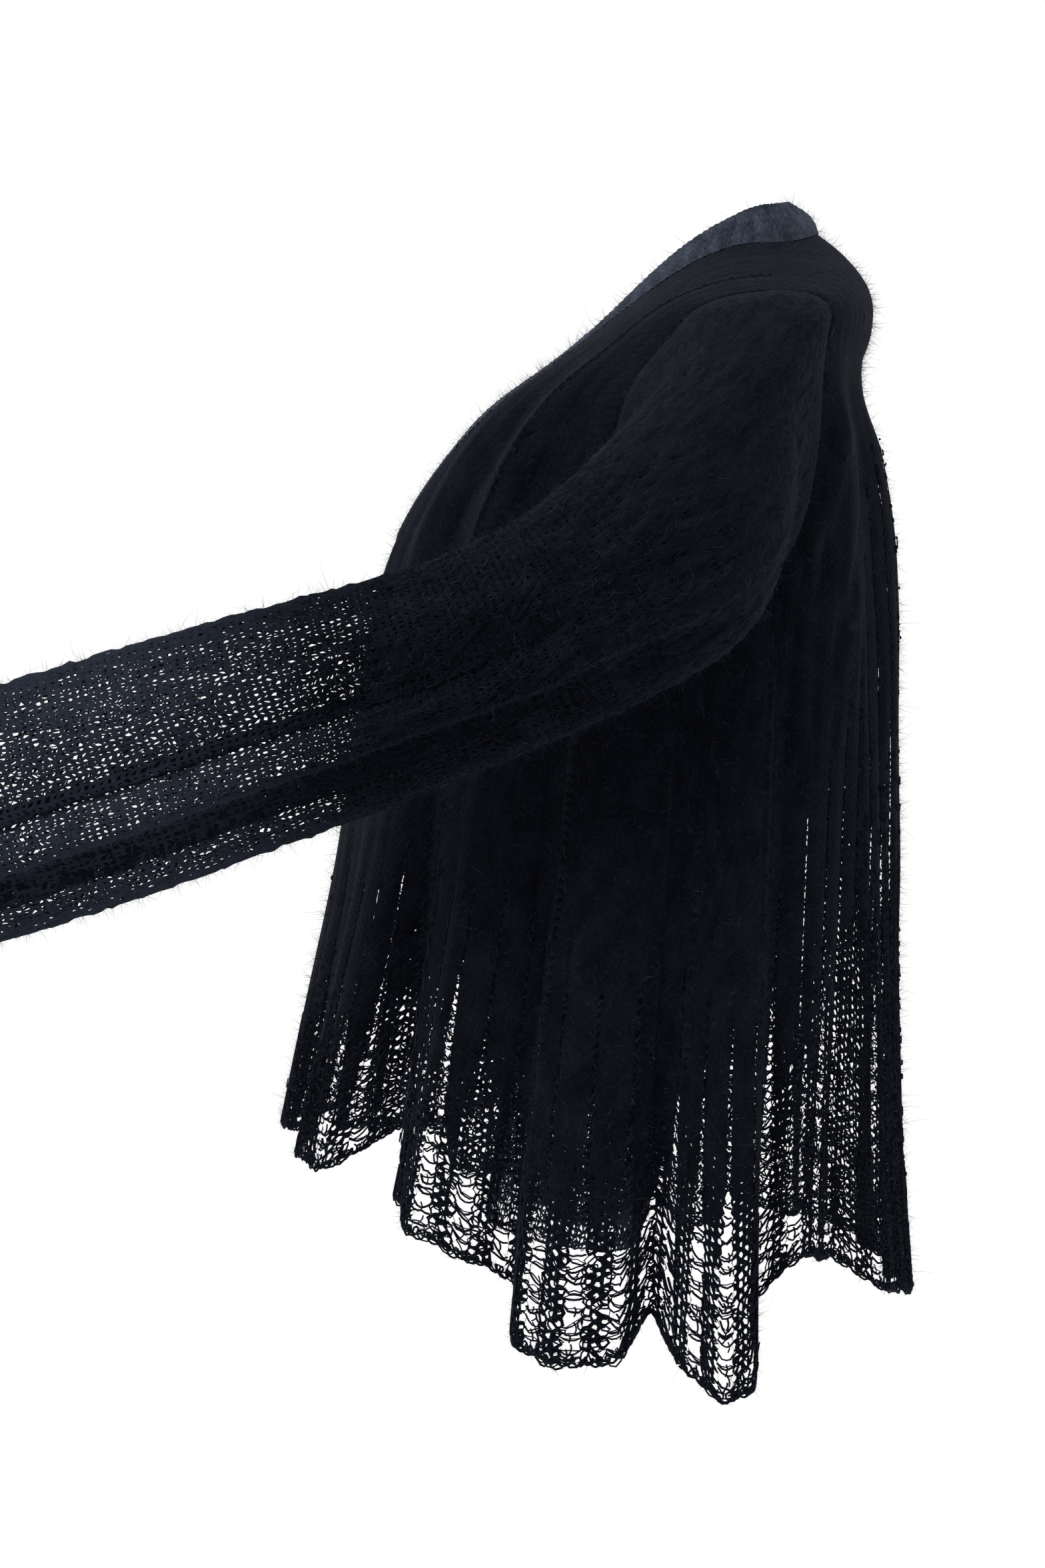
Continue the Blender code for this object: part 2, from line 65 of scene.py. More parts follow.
FLUTE_LIMIT = 1.1        # and how far they may
CHEST_FOLD_TOP_Z = -0.046   # heights between which the chest folds run
CHEST_FOLD_LOW_Z = -0.330
CHEST_FOLD_START = 0.080    # and the heights over which they fade in and out
CHEST_FOLD_END = 0.160
SPACING_Z = -0.580       # height at which the ribs are evenly spaced
SLOPE_STEP_DEG = 0.15    # steps that find the cloth's outward direction
SLOPE_STEP = 0.002

# Sections of the body, from the neck to below the hem.
BodySection = namedtuple("BodySection", "z half_width front back side")
BODY = [BodySection(*row) for row in (
    (0.024, 0.046, 0.006, 0.056, 0.035),
    (0.000, 0.078, -0.018, 0.084, 0.035),
    (-0.020, 0.120, -0.040, 0.096, 0.034),
    (-0.045, 0.168, -0.070, 0.096, 0.032),
    (-0.065, 0.175, -0.097, 0.090, 0.028),
    (-0.085, 0.178, -0.124, 0.089, 0.023),
    (-0.120, 0.178, -0.156, 0.099, 0.015),
    (-0.160, 0.174, -0.181, 0.107, 0.008),
    (-0.200, 0.168, -0.195, 0.111, 0.002),
    (-0.280, 0.170, -0.208, 0.112, -0.006),
    (-0.360, 0.188, -0.219, 0.111, -0.012),
    (-0.440, 0.214, -0.234, 0.110, -0.018),
    (-0.530, 0.243, -0.250, 0.109, -0.024),
    (-0.640, 0.272, -0.268, 0.112, -0.030),
)]

# Crests and valleys of the hem, by angle from the front towards the wearer's left, with the
# distance they stand out from the plain section and the height of the hem there.
Flute = namedtuple("Flute", "around out hem_z")
FLUTES = [Flute(*row) for row in (
    (-180, 0.008, -0.600),
    (-168, -0.012, -0.592),
    (-153, 0.014, -0.602),
    (-138, -0.013, -0.584),
    (-122, 0.016, -0.598),
    (-110, -0.014, -0.580),
    (-104, 0.008, -0.606),
    (-99, 0.018, -0.612),
    (-91, -0.016, -0.588),
    (-84, 0.018, -0.610),
    (-78, 0.006, -0.600),
    (-74, -0.014, -0.570),
    (-64, 0.016, -0.570),
    (-52, -0.014, -0.532),
    (-37, 0.015, -0.532),
    (-21, -0.010, -0.512),
    (-8, 0.008, -0.514),
    (9, 0.006, -0.511),
    (20, -0.005, -0.509),
    (29, 0.014, -0.519),
    (37, 0.016, -0.523),
    (45.5, -0.019, -0.498),
    (49, -0.006, -0.538),
    (57.5, 0.015, -0.550),
    (65.5, 0.002, -0.564),
    (69.5, -0.016, -0.574),
    (73, 0.010, -0.604),
    (78.5, 0.022, -0.610),
    (84, 0.012, -0.610),
    (87.5, -0.020, -0.590),
    (91, 0.008, -0.616),
    (95, 0.023, -0.627),
    (99, 0.016, -0.625),
    (106, -0.020, -0.582),
    (116, -0.006, -0.562),
    (128, -0.012, -0.566),
    (140, 0.008, -0.588),
    (150, 0.012, -0.593),
    (165, -0.008, -0.589),
)]

# Soft folds that run down from the neckband and the shoulders.
ChestFold = namedtuple("ChestFold", "around out")
CHEST_FOLDS = [ChestFold(*row) for row in (
    (-180, -0.002),
    (-160, 0.005),
    (-144, -0.004),
    (-131, 0.003),
    (-110, 0.000),
    (-70, 0.000),
    (-55, 0.004),
    (-45, -0.005),
    (-34, 0.006),
    (-22, -0.003),
    (-8, 0.002),
    (8, 0.002),
    (19, -0.004),
    (29, 0.006),
    (39, -0.006),
    (48, 0.006),
    (57, -0.004),
    (72, 0.000),
    (112, 0.000),
    (126, 0.004),
    (139, -0.004),
    (152, 0.005),
    (168, -0.003),
)]

# Sleeve sections from the armhole to the cuff. blend is the share of the oval in a section,
# the rest keeps the armhole's form; half_top and half_fore are the oval's two half sizes.
SleeveSection = namedtuple("SleeveSection", "x y z half_top half_fore blend fold")
LEFT_SLEEVE = [SleeveSection(*row) for row in (
    (0.170, 0.000, -0.120, 0.078, 0.068, 0.00, 0.0),
    (0.190, -0.001, -0.124, 0.078, 0.066, 0.10, 0.0),
    (0.213, -0.009, -0.146, 0.072, 0.060, 0.40, 0.1),
    (0.233, -0.034, -0.182, 0.063, 0.053, 0.75, 0.3),
    (0.244, -0.074, -0.215, 0.057, 0.047, 1.00, 0.6),
    (0.249, -0.118, -0.238, 0.055, 0.043, 1.00, 0.8),
    (0.250, -0.165, -0.256, 0.056, 0.041, 1.00, 1.0),
    (0.248, -0.213, -0.272, 0.059, 0.040, 1.00, 1.0),
    (0.246, -0.261, -0.287, 0.061, 0.040, 1.00, 1.0),
    (0.243, -0.309, -0.303, 0.063, 0.040, 1.00, 1.0),
    (0.240, -0.357, -0.318, 0.064, 0.040, 1.00, 1.0),
    (0.237, -0.405, -0.333, 0.064, 0.040, 1.00, 0.8),
    (0.234, -0.452, -0.347, 0.060, 0.040, 1.00, 0.4),
)]
RIGHT_SLEEVE = [SleeveSection(*row) for row in (
    (-0.170, 0.000, -0.120, 0.078, 0.068, 0.00, 0.0),
    (-0.190, -0.002, -0.123, 0.078, 0.068, 0.10, 0.0),
    (-0.222, -0.006, -0.148, 0.073, 0.069, 0.45, 0.1),
    (-0.250, -0.012, -0.195, 0.064, 0.069, 0.80, 0.4),
    (-0.269, -0.019, -0.250, 0.058, 0.069, 1.00, 0.8),
    (-0.281, -0.026, -0.300, 0.055, 0.069, 1.00, 1.0),
    (-0.293, -0.034, -0.350, 0.053, 0.069, 1.00, 1.0),
    (-0.305, -0.042, -0.400, 0.051, 0.068, 1.00, 1.0),
    (-0.316, -0.050, -0.450, 0.050, 0.067, 1.00, 0.9),
    (-0.327, -0.059, -0.500, 0.048, 0.065, 1.00, 0.8),
    (-0.337, -0.068, -0.550, 0.046, 0.063, 1.00, 0.7),
    (-0.344, -0.076, -0.590, 0.045, 0.061, 1.00, 0.5),
    (-0.350, -0.083, -0.622, 0.044, 0.059, 1.00, 0.4),
)]

# The direction that counts as a sleeve's top all along it.
LEFT_TOP = (0.0, 0.0, 1.0)
RIGHT_TOP = (-0.7, 0.0, 0.7)

# Lengthwise folds of a sleeve, by angle from its top towards its front.
SleeveFold = namedtuple("SleeveFold", "angle out")
LEFT_SLEEVE_FOLDS = [SleeveFold(*row) for row in (
    (0, 0.002),
    (45, -0.003),
    (90, 0.003),
    (135, -0.006),
    (165, 0.003),
    (200, 0.004),
    (226, -0.009),
    (246, 0.006),
    (267, -0.008),
    (292, 0.004),
    (330, -0.001),
)]
RIGHT_SLEEVE_FOLDS = [SleeveFold(*row) for row in (
    (0, -0.004),
    (40, 0.004),
    (75, -0.007),
    (105, 0.004),
    (150, -0.002),
    (200, 0.003),
    (240, -0.007),
    (275, 0.004),
    (320, 0.002),
)]

# How finely lines are sampled.
PANEL_SAMPLES = 3000     # across a panel
COLUMN_SAMPLES = 500     # up a column of stitches
LADDER_COLUMNS = 8       # columns measured in each repeat of the ladders
TOP_CROWD = 2.4          # crowds the samples of a column towards the shoulder
ROW_SHY = 1e-6           # keeps the highest row inside the measured ones
EDGE_SAMPLES = 400       # along a shoulder, half an armhole or a quarter of the neckline
SIDE_SEAM_SAMPLES = 200
SHOULDER_SEAM_SAMPLES = 60
SLEEVE_SAMPLES = 1441    # round a sleeve

# The knit of the body: stitch sizes, ladders and holes.
ROW = 0.0054             # height of a row of stitches
STITCH_WIDE = 0.0036     # width of a stitch in the finish
LADDERS = 20             # ladders in each front; the back has twice as many
RIB_STITCHES = 3         # stitch columns in a rib
RIB_CROWN = 0.0011       # how far the middle of a rib stands out from its edges
CROWN_FULL = 0.26        # height above the hem where the ribs begin to flatten
CROWN_FADE = 0.75        # how far they do
CROWN_END = 6            # half rows in which a rib goes flat at its top
STITCH_RISE = 0.0003     # how far the yarn round a hole stands out
STITCH_SINK = 0.0011     # how far the lip of a hole lies in
STITCH_ZIGZAG = 0.16     # sideways swing of the yarn between stitches, in stitches
EDGE_ZIGZAG = 0.20       # and at most this share of the ladder beside it
STITCH_STRAY = 0.00022   # unevenness of the hand-knit stitches
HEM_LOOSE = 1.8          # and how much more uneven they are at the hem
HEM_LOOSE_FADE = 0.05    # height above the hem over which that fades
HOLE_UNEVEN = 0.28       # unevenness of a hole's outline
HOLE_LIMITS = (0.08, 0.88)   # least and most of its stitch that a hole's corner reaches
SMALLEST_HOLE = 0.16     # a stitch tighter than this has closed up
LARGEST_RIB_HOLE = 0.80
LEVEL_Z = -0.25          # the rows of neighbouring ribs are matched up from this height

# The knit of the sleeves.
SLEEVE_STITCHES = 132    # stitches round a sleeve
SLEEVE_ROW = 0.0043      # height of a sleeve's rows
SLEEVE_SLANT = 0.32      # slant of its stitches, by turns up and down the sleeve, in rows
SLEEVE_HOLE = 0.44       # size of a sleeve's holes, in stitches
SLEEVE_CAP_HOLE = 0.10   # and near the armhole
CAP_END, CAP_FADE = 0.12, 0.52   # shares of a sleeve's length between which its holes grow
FORE_OPEN = 0.70         # how much more open its fore side is, which on the left lies next to the body
SLEEVE_HOLE_SPREAD = 0.22        # unevenness of its holes
SLEEVE_HOLE_LIMITS = (0.05, 0.82)
PATCH_STITCHES = 9       # looser and tighter patches of a sleeve, in stitches
PATCH_SPREAD = 0.06      # and how much they differ
BACKLIGHT_START, BACKLIGHT_FULL = 0.20, 0.42   # distances down a sleeve between which painted backlight grows on its yarn
SLEEVE_STRAY = 0.00052   # unevenness of a sleeve's stitches
SETTLED_ROWS = 4         # rows from the armhole in which it grows to that
HEAD_EASE = 0.012        # how far the head of a sleeve draws in from the armhole
HEAD_EASE_AT = 0.034     # distance down the sleeve where it draws in most
HEAD_EASE_END = 0.110    # and where it has stopped

# Yarns across the ladders; lengths are in rows and thickness in yarns where nothing else is said.
YARN = 0.00070           # radius of the yarn in ladders and loops, in metres
YARN_SIDES = 3
WIDE_LADDER = 0.006      # a ladder this wide, in metres, has sagging rungs
RUNG_POINTS = 3
WIDE_RUNG_POINTS = 5
RUNG_PITCH = 0.76        # distance between rungs, its unevenness and the least there is
RUNG_UNEVEN = 0.24
RUNG_LEAST = 0.5
RUNG_TILT = 0.30
RUNG_SAG = (0.15, 0.85)
RUNG_SKEW = 0.35         # how far to one side a rung sags
RUNG_REACH = 1.14        # a rung ends a little way inside the ribs
RUNG_STRAY = 0.0009      # how far rungs lie off the cloth, in metres
RUNG_WOBBLE = 0.07
RUNG_THICK = (0.75, 1.2)
STRAY_SHARE = 0.55       # share of the wide rungs that have a second yarn, and a stray one
SECOND_RISE = (0.15, 0.5)
SECOND_THICK = (0.45, 0.7)
STRAY_POINTS = 4
STRAY_LEAN = 0.5         # sideways spread and bow of a stray yarn, in half ladders
STRAY_BOW = 0.2
STRAY_CLIMB = (0.8, 1.2)
STRAY_THICK = (0.6, 0.9)

# Loops along the hem and chains of loops on the ribs above it.
HEM_LOOP = 0.0021        # radius of the loops along the hem
HEM_LOOP_PITCH = 0.0040
HEM_ROUNDS = ((HEM_LOOP_PITCH, 1.05), (1.7 * HEM_LOOP_PITCH, 0.8))   # pitch and thickness of each round
HEM_LOOP_POINTS = 8
HEM_LOOP_SIZES = (0.6, 1.5)
HEM_LOOP_TURN = 0.5      # unevenness of their turn
HEM_LOOP_ROW = 0.22      # their place above the hem, in rows, and its unevenness
HEM_LOOP_WANDER = 0.16
HEM_LOWEST = -0.45       # no loop hangs lower than this, in rows
HEM_LIFT = 0.0006        # how far they stand out
RIB_LOOP_ROWS = 11       # height of a chain, and by how many rows it may differ
RIB_LOOP_VARY = 2
RIB_LOOP_POINTS = 6
RIB_LOOP_SIDE = 0.5      # place of a chain, in half ribs from the middle
END_RIB_SIDE = 0.45      # and in the half rib at the edge of a panel
RIB_LOOP_HALF = 0.46     # half the width of a loop, in half ribs
RIB_LOOP_RISE = 0.42     # and half its height, in rows
RIB_LOOP_SIZES = (0.75, 1.25)
RIB_LOOP_TURN = 0.6
RIB_LOOP_DRIFT = 0.2
RIB_LOOP_LIFT = 0.0012
RIB_LOOP_THICK = 0.9

# Overcast seams, on the inside.
SEAM_PITCH = 0.0056      # distance between turns of the yarn
SEAM_POINTS = 6          # points in a turn
SEAM_HALF = 0.0013       # half the width of a seam
SEAM_RISE = 0.0006       # half its height
SEAM_DEPTH = 1.5         # how deep its middle lies, in half heights
SEAM_YARN = 0.00036      # radius of its yarn
SEAM_END = 0.5           # rows that a side seam keeps from its ends

# The neckband, folded over its edge.
NECK_RADIUS = 0.178      # radius that turns half the neck's width into an angle
NECK_SHY_DEG = 0.02      # and how far the seams keep from that corner
NECK_LIMIT_DEG = math.degrees(math.asin(NECK_HALF_WIDTH / NECK_RADIUS)) - NECK_SHY_DEG
BAND_WIDTH = 0.026
BAND_MITRE = 0.006       # its ends keep this far from the middle
BAND_STAND = 0.45        # how far it stands up, less and less down to the height below
BAND_LIE_Z = -0.070
BAND_STEP = 0.0018       # distance between points along it
BAND_ROWS = 15           # points across its outside and its inside
BAND_ROLL_POINTS = 7     # and round the roll between them
BAND_FOLD = 0.0011       # radius of the roll
BAND_BULGE = 0.0008      # how far its middle swells
BAND_LAP = 0.0012        # how far it laps over its seam
BAND_LIFT = 0.0005       # and stands off it
BAND_STITCH = 0.0036     # width of its wales
BAND_WALE = 0.00025      # how far they stand out
BAND_UNEVEN = 0.6        # unevenness of its stitches, as a share of the body's
BAND_SOFT = 0.012        # distance over which its slope is evened out
BAND_SOFT_REACH = 3      # and how many times as far that looks
BAND_DROOP = 0.006       # how far it droops at the nape, over what width and depth
BAND_DROOP_HALF = 0.040
BAND_DROOP_FADE = 0.030
BAND_BOW = 0.004         # how far it bows out there

# The halo: fibres to a square metre, and their length, width and points. Real fibres are finer and
# far closer; these are as many as the mesh can carry.
Fibre = namedtuple("Fibre", "density length width points")
FUZZ = Fibre(80000.0, 0.0080, 0.00019, 2)
HAIRS = Fibre(6500.0, 0.0140, 0.00013, 4)
YARN_FUZZ = Fibre(100000.0, 0.0050, 0.00018, 2)
FIBRE_LEAN = math.radians(60)
FIBRE_MIDDLE = (0.05, 0.0, 0.55)     # bend of a fibre, in lengths
FIBRE_END = (0.55, 0.15, 0.75)
FIBRE_TAPER = 1.15       # width at the root, one less at the tip
FIBRE_RARE = 2.5         # how rare the longest ones are
FIBRE_SIZES = (0.45, 1.2)

# Patterns of the finishes, width and length along the stitches.
CLOUD = (0.009, 0.022)       # clouds of brushed fibre
STRAND = (0.0005, 0.004)     # single fibres, drawn coarser than they are so that they show
TWIST = 0.0015               # twists of fibre along a yarn

# Seeds of all that is random.
Seeds = namedtuple("Seeds", "cloth fibres ladders hem ribs", defaults=(None, None, None))
SEEDS = {
    "front_left": Seeds(100, 500, 200, 300, 400),
    "front_right": Seeds(101, 503, 201, 301, 401),
    "back": Seeds(102, 506, 202, 302, 402),
    "sleeve_left": Seeds(110, 510),
    "sleeve_right": Seeds(111, 513),
    "neckband": Seeds(120, 520),
}

# Camera and floor.
CAMERA = (2.0, -0.1104, -0.3104)
LOOK_AT = (0.0, -0.10, -0.30)        # the middle of the garment, at which the lights aim
SENSOR = 36.0
PHOTO_HEIGHT = 2352
FOCAL_PIXELS = 5000
FLOOR_Z = -1.30
FLOOR_HALF = 2.2

# Share of a ladder repeat that is open, and size of the holes in the ribs, by height above the hem.
Opening = namedtuple("Opening", "height ladder hole")
OPENINGS = [Opening(*row) for row in (
    (0.000, 0.40, 0.66),
    (0.040, 0.39, 0.58),
    (0.065, 0.36, 0.46),
    (0.085, 0.26, 0.32),
    (0.105, 0.15, 0.18),
    (0.150, 0.09, 0.08),
    (0.240, 0.07, 0.05),
    (0.700, 0.06, 0.05),
)]
LADDER_CLOSES = 0.20     # the ladders close up this far above the hem
LADDER_END_ROWS = 5      # and this many rows below a neckline, shoulder or armhole
STITCH_CLOSES = 0.15     # the stitches of the ribs close up this far above the hem
# How much higher the openings climb than at the sides, by angle from the middle of the front.
REACH_ANGLE = (0, 30, 60, 100, 125, 145, 180)
REACH = (0.75, 0.8, 1.0, 1.0, 1.5, 2.4, 2.6)

# Soft creases of the worn cloth: middle, lean from upright towards the wearer's left, and size.
Crease = namedtuple("Crease", "around z lean length width depth")
CREASES = [Crease(*row) for row in (
    (24, -0.120, 14, 0.120, 0.010, 0.0030),
    (44, -0.110, 8, 0.130, 0.011, 0.0035),
    (60, -0.190, -24, 0.110, 0.012, -0.0030),
    (76, -0.270, 10, 0.140, 0.014, 0.0030),
    (104, -0.260, -12, 0.150, 0.013, -0.0030),
    (116, -0.150, 30, 0.120, 0.010, 0.0035),
    (128, -0.190, 24, 0.130, 0.010, -0.0030),
    (150, -0.300, -8, 0.180, 0.016, 0.0030),
    (176, -0.200, 6, 0.200, 0.015, -0.0025),
    (206, -0.280, 10, 0.170, 0.015, 0.0030),
    (236, -0.180, -26, 0.120, 0.011, 0.0030),
    (252, -0.270, 14, 0.150, 0.013, -0.0030),
    (286, -0.260, -10, 0.140, 0.013, 0.0030),
    (304, -0.180, 22, 0.120, 0.012, -0.0030),
    (322, -0.110, -8, 0.120, 0.010, 0.0030),
    (340, -0.200, -12, 0.130, 0.012, 0.0025),
)]
CREASE_RADIUS = 0.170    # radius of the body that turns an angle into a distance

# Lengthwise tucks of a sleeve, where the slack cloth lies over itself.
Tuck = namedtuple("Tuck", "angle half_deg overlap depth")
LEFT_TUCKS = [Tuck(*row) for row in (
    (267, 19, 0.72, 0.0042),
    (222, 23, 0.86, 0.0055),
    (120, 15, 0.48, 0.0035),
)]
RIGHT_TUCKS = [Tuck(*row) for row in (
    (75, 16, 0.54, 0.0042),
    (240, 18, 0.56, 0.0045),
)]

# Soft creases of a sleeve: place along it, angle from its top towards its front, lean and size.
SleeveCrease = namedtuple("SleeveCrease", "along angle lean length width depth")
LEFT_CREASES = [SleeveCrease(*row) for row in (
    (0.070, 250, 38, 0.120, 0.011, 0.0035),
    (0.100, 272, 34, 0.140, 0.012, -0.0035),
    (0.135, 290, 30, 0.120, 0.010, 0.0030),
    (0.175, 240, 18, 0.110, 0.010, -0.0030),
    (0.190, 305, 12, 0.130, 0.010, -0.0025),
    (0.120, 60, -30, 0.120, 0.012, 0.0030),
    (0.160, 110, -26, 0.120, 0.011, -0.0030),
    (0.400, 315, 6, 0.150, 0.010, -0.0020),
)]
RIGHT_CREASES = [SleeveCrease(*row) for row in (
    (0.090, 280, 32, 0.120, 0.012, 0.0035),
    (0.140, 250, 26, 0.130, 0.011, -0.0030),
    (0.250, 300, -18, 0.120, 0.010, 0.0030),
    (0.330, 100, 20, 0.130, 0.011, -0.0030),
    (0.420, 200, -16, 0.110, 0.010, 0.0025),
    (0.110, 80, -30, 0.120, 0.012, 0.0030),
)]
SLEEVE_RADIUS = 0.055    # radius of a sleeve that turns an angle into a distance
TUCK_START, TUCK_FULL = 0.20, 0.46   # shares of a sleeve's length between which its tucks grow
TUCK_EASE = 2.5          # how slowly the cloth rises again behind a tuck
TUCK_CROWD = 2.0         # how closely the tight stitches keep to a tuck
TUCK_SHUT = 0.75         # how far the stitches in a tuck close up


def unit(vectors):
    """Vectors of length one."""
    return vectors / np.linalg.norm(vectors, axis=-1, keepdims=True)


def smoothstep(t):
    """Ease from 0 to 1."""
    t = np.clip(t, 0.0, 1.0)
    return t * t * (3 - 2 * t)


def half_turn(degrees):
    """Angles brought to within half a turn of zero."""
    return (degrees + 180) % 360 - 180


def grid_cells(wide, high):
    """Corners of the four-sided cells between neighbouring lines of points."""
    number = np.arange(wide * high).reshape(wide, high)
    corners = [number[:-1, :-1], number[:-1, 1:], number[1:, 1:], number[1:, :-1]]
    return np.stack(corners, axis=2).reshape(-1, 4)


def smooth_curve(where, value):
    """Smooth curve through values at ascending places."""
    slope = np.gradient(value, where)

    def at(place):
        k = np.clip(np.searchsorted(where, place) - 1, 0, len(where) - 2)
        span = where[k + 1] - where[k]
        t = (place - where[k]) / span
        start = (1 + 2 * t) * (1 - t) ** 2 * value[k] + t * (1 - t) ** 2 * span * slope[k]
        end = t * t * (3 - 2 * t) * value[k + 1] + t * t * (t - 1) * span * slope[k + 1]
        return start + end

    return at


def section_curve(name):
    """Smooth curve through one column of the body's sections, by height."""
    rows = BODY[::-1]
    heights = np.array([row.z for row in rows])
    return smooth_curve(heights, np.array([getattr(row, name) for row in rows]))


def ring_curve(rows, key, name):
    """Wave through one column of a table of crests and valleys, closed after 360 degrees."""
    start = np.array([getattr(row, key) for row in rows], dtype=float)
    angle = np.append(start, start[0] + 360)
    value = np.array([getattr(row, name) for row in rows], dtype=float)
    value = np.append(value, value[0])

    def at(degrees):
        degrees = (degrees - angle[0]) % 360 + angle[0]
        k = np.clip(np.searchsorted(angle, degrees, side="right") - 1, 0, len(angle) - 2)
        t = (degrees - angle[k]) / (angle[k + 1] - angle[k])
        return value[k] + (value[k + 1] - value[k]) * (1 - np.cos(np.pi * t)) / 2

    return at


HALF_WIDTH = section_curve("half_width")
FRONT = section_curve("front")
BACK = section_curve("back")
SIDE = section_curve("side")
FLUTE_OUT = ring_curve(FLUTES, "around", "out")
HEM_Z = ring_curve(FLUTES, "around", "hem_z")
CHEST_OUT = ring_curve(CHEST_FOLDS, "around", "out")
CHEST_HALF = float(HALF_WIDTH(np.array(CHEST_Z)))
ARMHOLE = math.radians(ARMHOLE_DEG)
OPEN_X = CHEST_HALF * math.sin(math.radians(FRONT_OPEN_DEG))


def crease_fade(crease, side, up):
    """Strength of a crease at distances sideways and upwards from its middle."""
    turn = math.radians(crease.lean)
    along = up * math.cos(turn) + side * math.sin(turn)
    across = side * math.cos(turn) - up * math.sin(turn)
    return np.exp(-((2 * along / crease.length) ** 4) - (across / crease.width) ** 2)


def fold_out(around, z):
    """How far flutes, chest folds and creases move the cloth out."""
    lowest = HEM_Z(around)
    flute = np.clip((FLUTE_TOP_Z - z) / (FLUTE_TOP_Z - lowest), 0.0, FLUTE_LIMIT) ** FLUTE_GROWTH
    rise = smoothstep((CHEST_FOLD_TOP_Z - z) / CHEST_FOLD_START)
    fall = smoothstep((z - CHEST_FOLD_LOW_Z) / CHEST_FOLD_END)
    out = FLUTE_OUT(around) * flute + CHEST_OUT(around) * rise * fall
    for crease in CREASES:
        side = np.radians(half_turn(around - crease.around)) * CREASE_RADIUS
        out = out + crease.depth * crease_fade(crease, side, z - crease.z) * rise
    return out


def quarter(around):
    """Side (+1 the wearer's left), whether it is the front, and the angle from the middle of it."""
    around = half_turn(around)
    hand = np.where(around >= 0, 1.0, -1.0)
    front = abs(around) <= 90
    return hand, front, np.radians(np.where(front, abs(around), 180 - abs(around)))


def body_point(around, z):
    """Points of the body's cloth at angles from the front and heights."""
    hand, front, angle = quarter(around)
    half_width, side = HALF_WIDTH(z), SIDE(z)
    straight = np.arcsin(np.minimum(CHEST_HALF * np.sin(angle) / half_width, 1.0))
    angle = np.where(z > CHEST_Z, straight, angle)
    reach = abs(np.where(front, FRONT(z), BACK(z)) - side)
    roundness = np.where(front, FRONT_ROUND, BACK_ROUND)
    cosine = np.maximum(np.cos(angle), 0.0)
    out_x = roundness * reach * np.sin(angle)
    out_y = half_width * cosine ** (2 - roundness)
    fold = fold_out(around, z) / np.hypot(out_x, out_y)
    x = half_width * np.sin(angle) + out_x * fold
    y = reach * cosine ** roundness + out_y * fold
    return np.stack([hand * x, side + np.where(front, -1.0, 1.0) * y, z], axis=-1)


def shoulder_height(x):
    """Height of the shoulder seam at a distance from the middle."""
    heights = np.linspace(BODY[0].z, CHEST_Z, EDGE_SAMPLES)
    return np.interp(x, HALF_WIDTH(heights), heights)


NECK_POINT_Z = float(shoulder_height(NECK_HALF_WIDTH))
TIP_Z = float(shoulder_height(CHEST_HALF * math.sin(ARMHOLE)))


def column_top(around):
    """Heights where ribs end, and whether that is on a shoulder seam."""
    _, front, angle = quarter(around)
    x = CHEST_HALF * np.sin(angle)
    part = np.maximum(1 - (x - OPEN_X) / (NECK_HALF_WIDTH - OPEN_X), 0.0)
    front_neck = NECK_POINT_Z + (V_POINT_Z - NECK_POINT_Z) * part ** V_CURVE
    back_neck = NECK_BACK_Z + (NECK_POINT_Z - NECK_BACK_Z) * (x / NECK_HALF_WIDTH) ** NECK_BACK_CURVE
    part = np.clip((angle - ARMHOLE) / (math.pi / 2 - ARMHOLE), 0.0, 1.0)
    armhole = UNDERARM_Z + (TIP_Z - UNDERARM_Z) * (1 - part) ** ARMHOLE_CURVE
    neck = x < NECK_HALF_WIDTH
    shoulder = ~neck & (angle <= ARMHOLE)
    top = np.where(shoulder, shoulder_height(x), armhole)
    return np.where(neck, np.where(front, front_neck, back_neck), top), shoulder


def body_cloth(around, z, top):
    """Points and outward directions of the body's cloth."""
    high = np.minimum(z + SLOPE_STEP / 2, top)
    across = body_point(around + SLOPE_STEP_DEG, z) - body_point(around - SLOPE_STEP_DEG, z)
    along = body_point(around, high) - body_point(around, high - SLOPE_STEP)
    return body_point(around, z), unit(np.cross(across, along))


def run_along(points):
    """Distance along rows of points, from the first one."""
    steps = np.linalg.norm(np.diff(points, axis=-2), axis=-1)
    return np.concatenate([np.zeros_like(steps[..., :1]), np.cumsum(steps, axis=-1)], axis=-1)


def vectors_at(spots, run, rows):
    """Vectors at distances along a line, from those at other distances."""
    return np.stack([np.interp(spots, run, rows[:, k]) for k in range(3)], axis=-1)


def opening_at(rows, reach, name):
    """A column of the table of openings, at rows above the hem."""
    height = rows * ROW / reach
    return np.interp(height, [row.height for row in OPENINGS], [getattr(row, name) for row in OPENINGS])


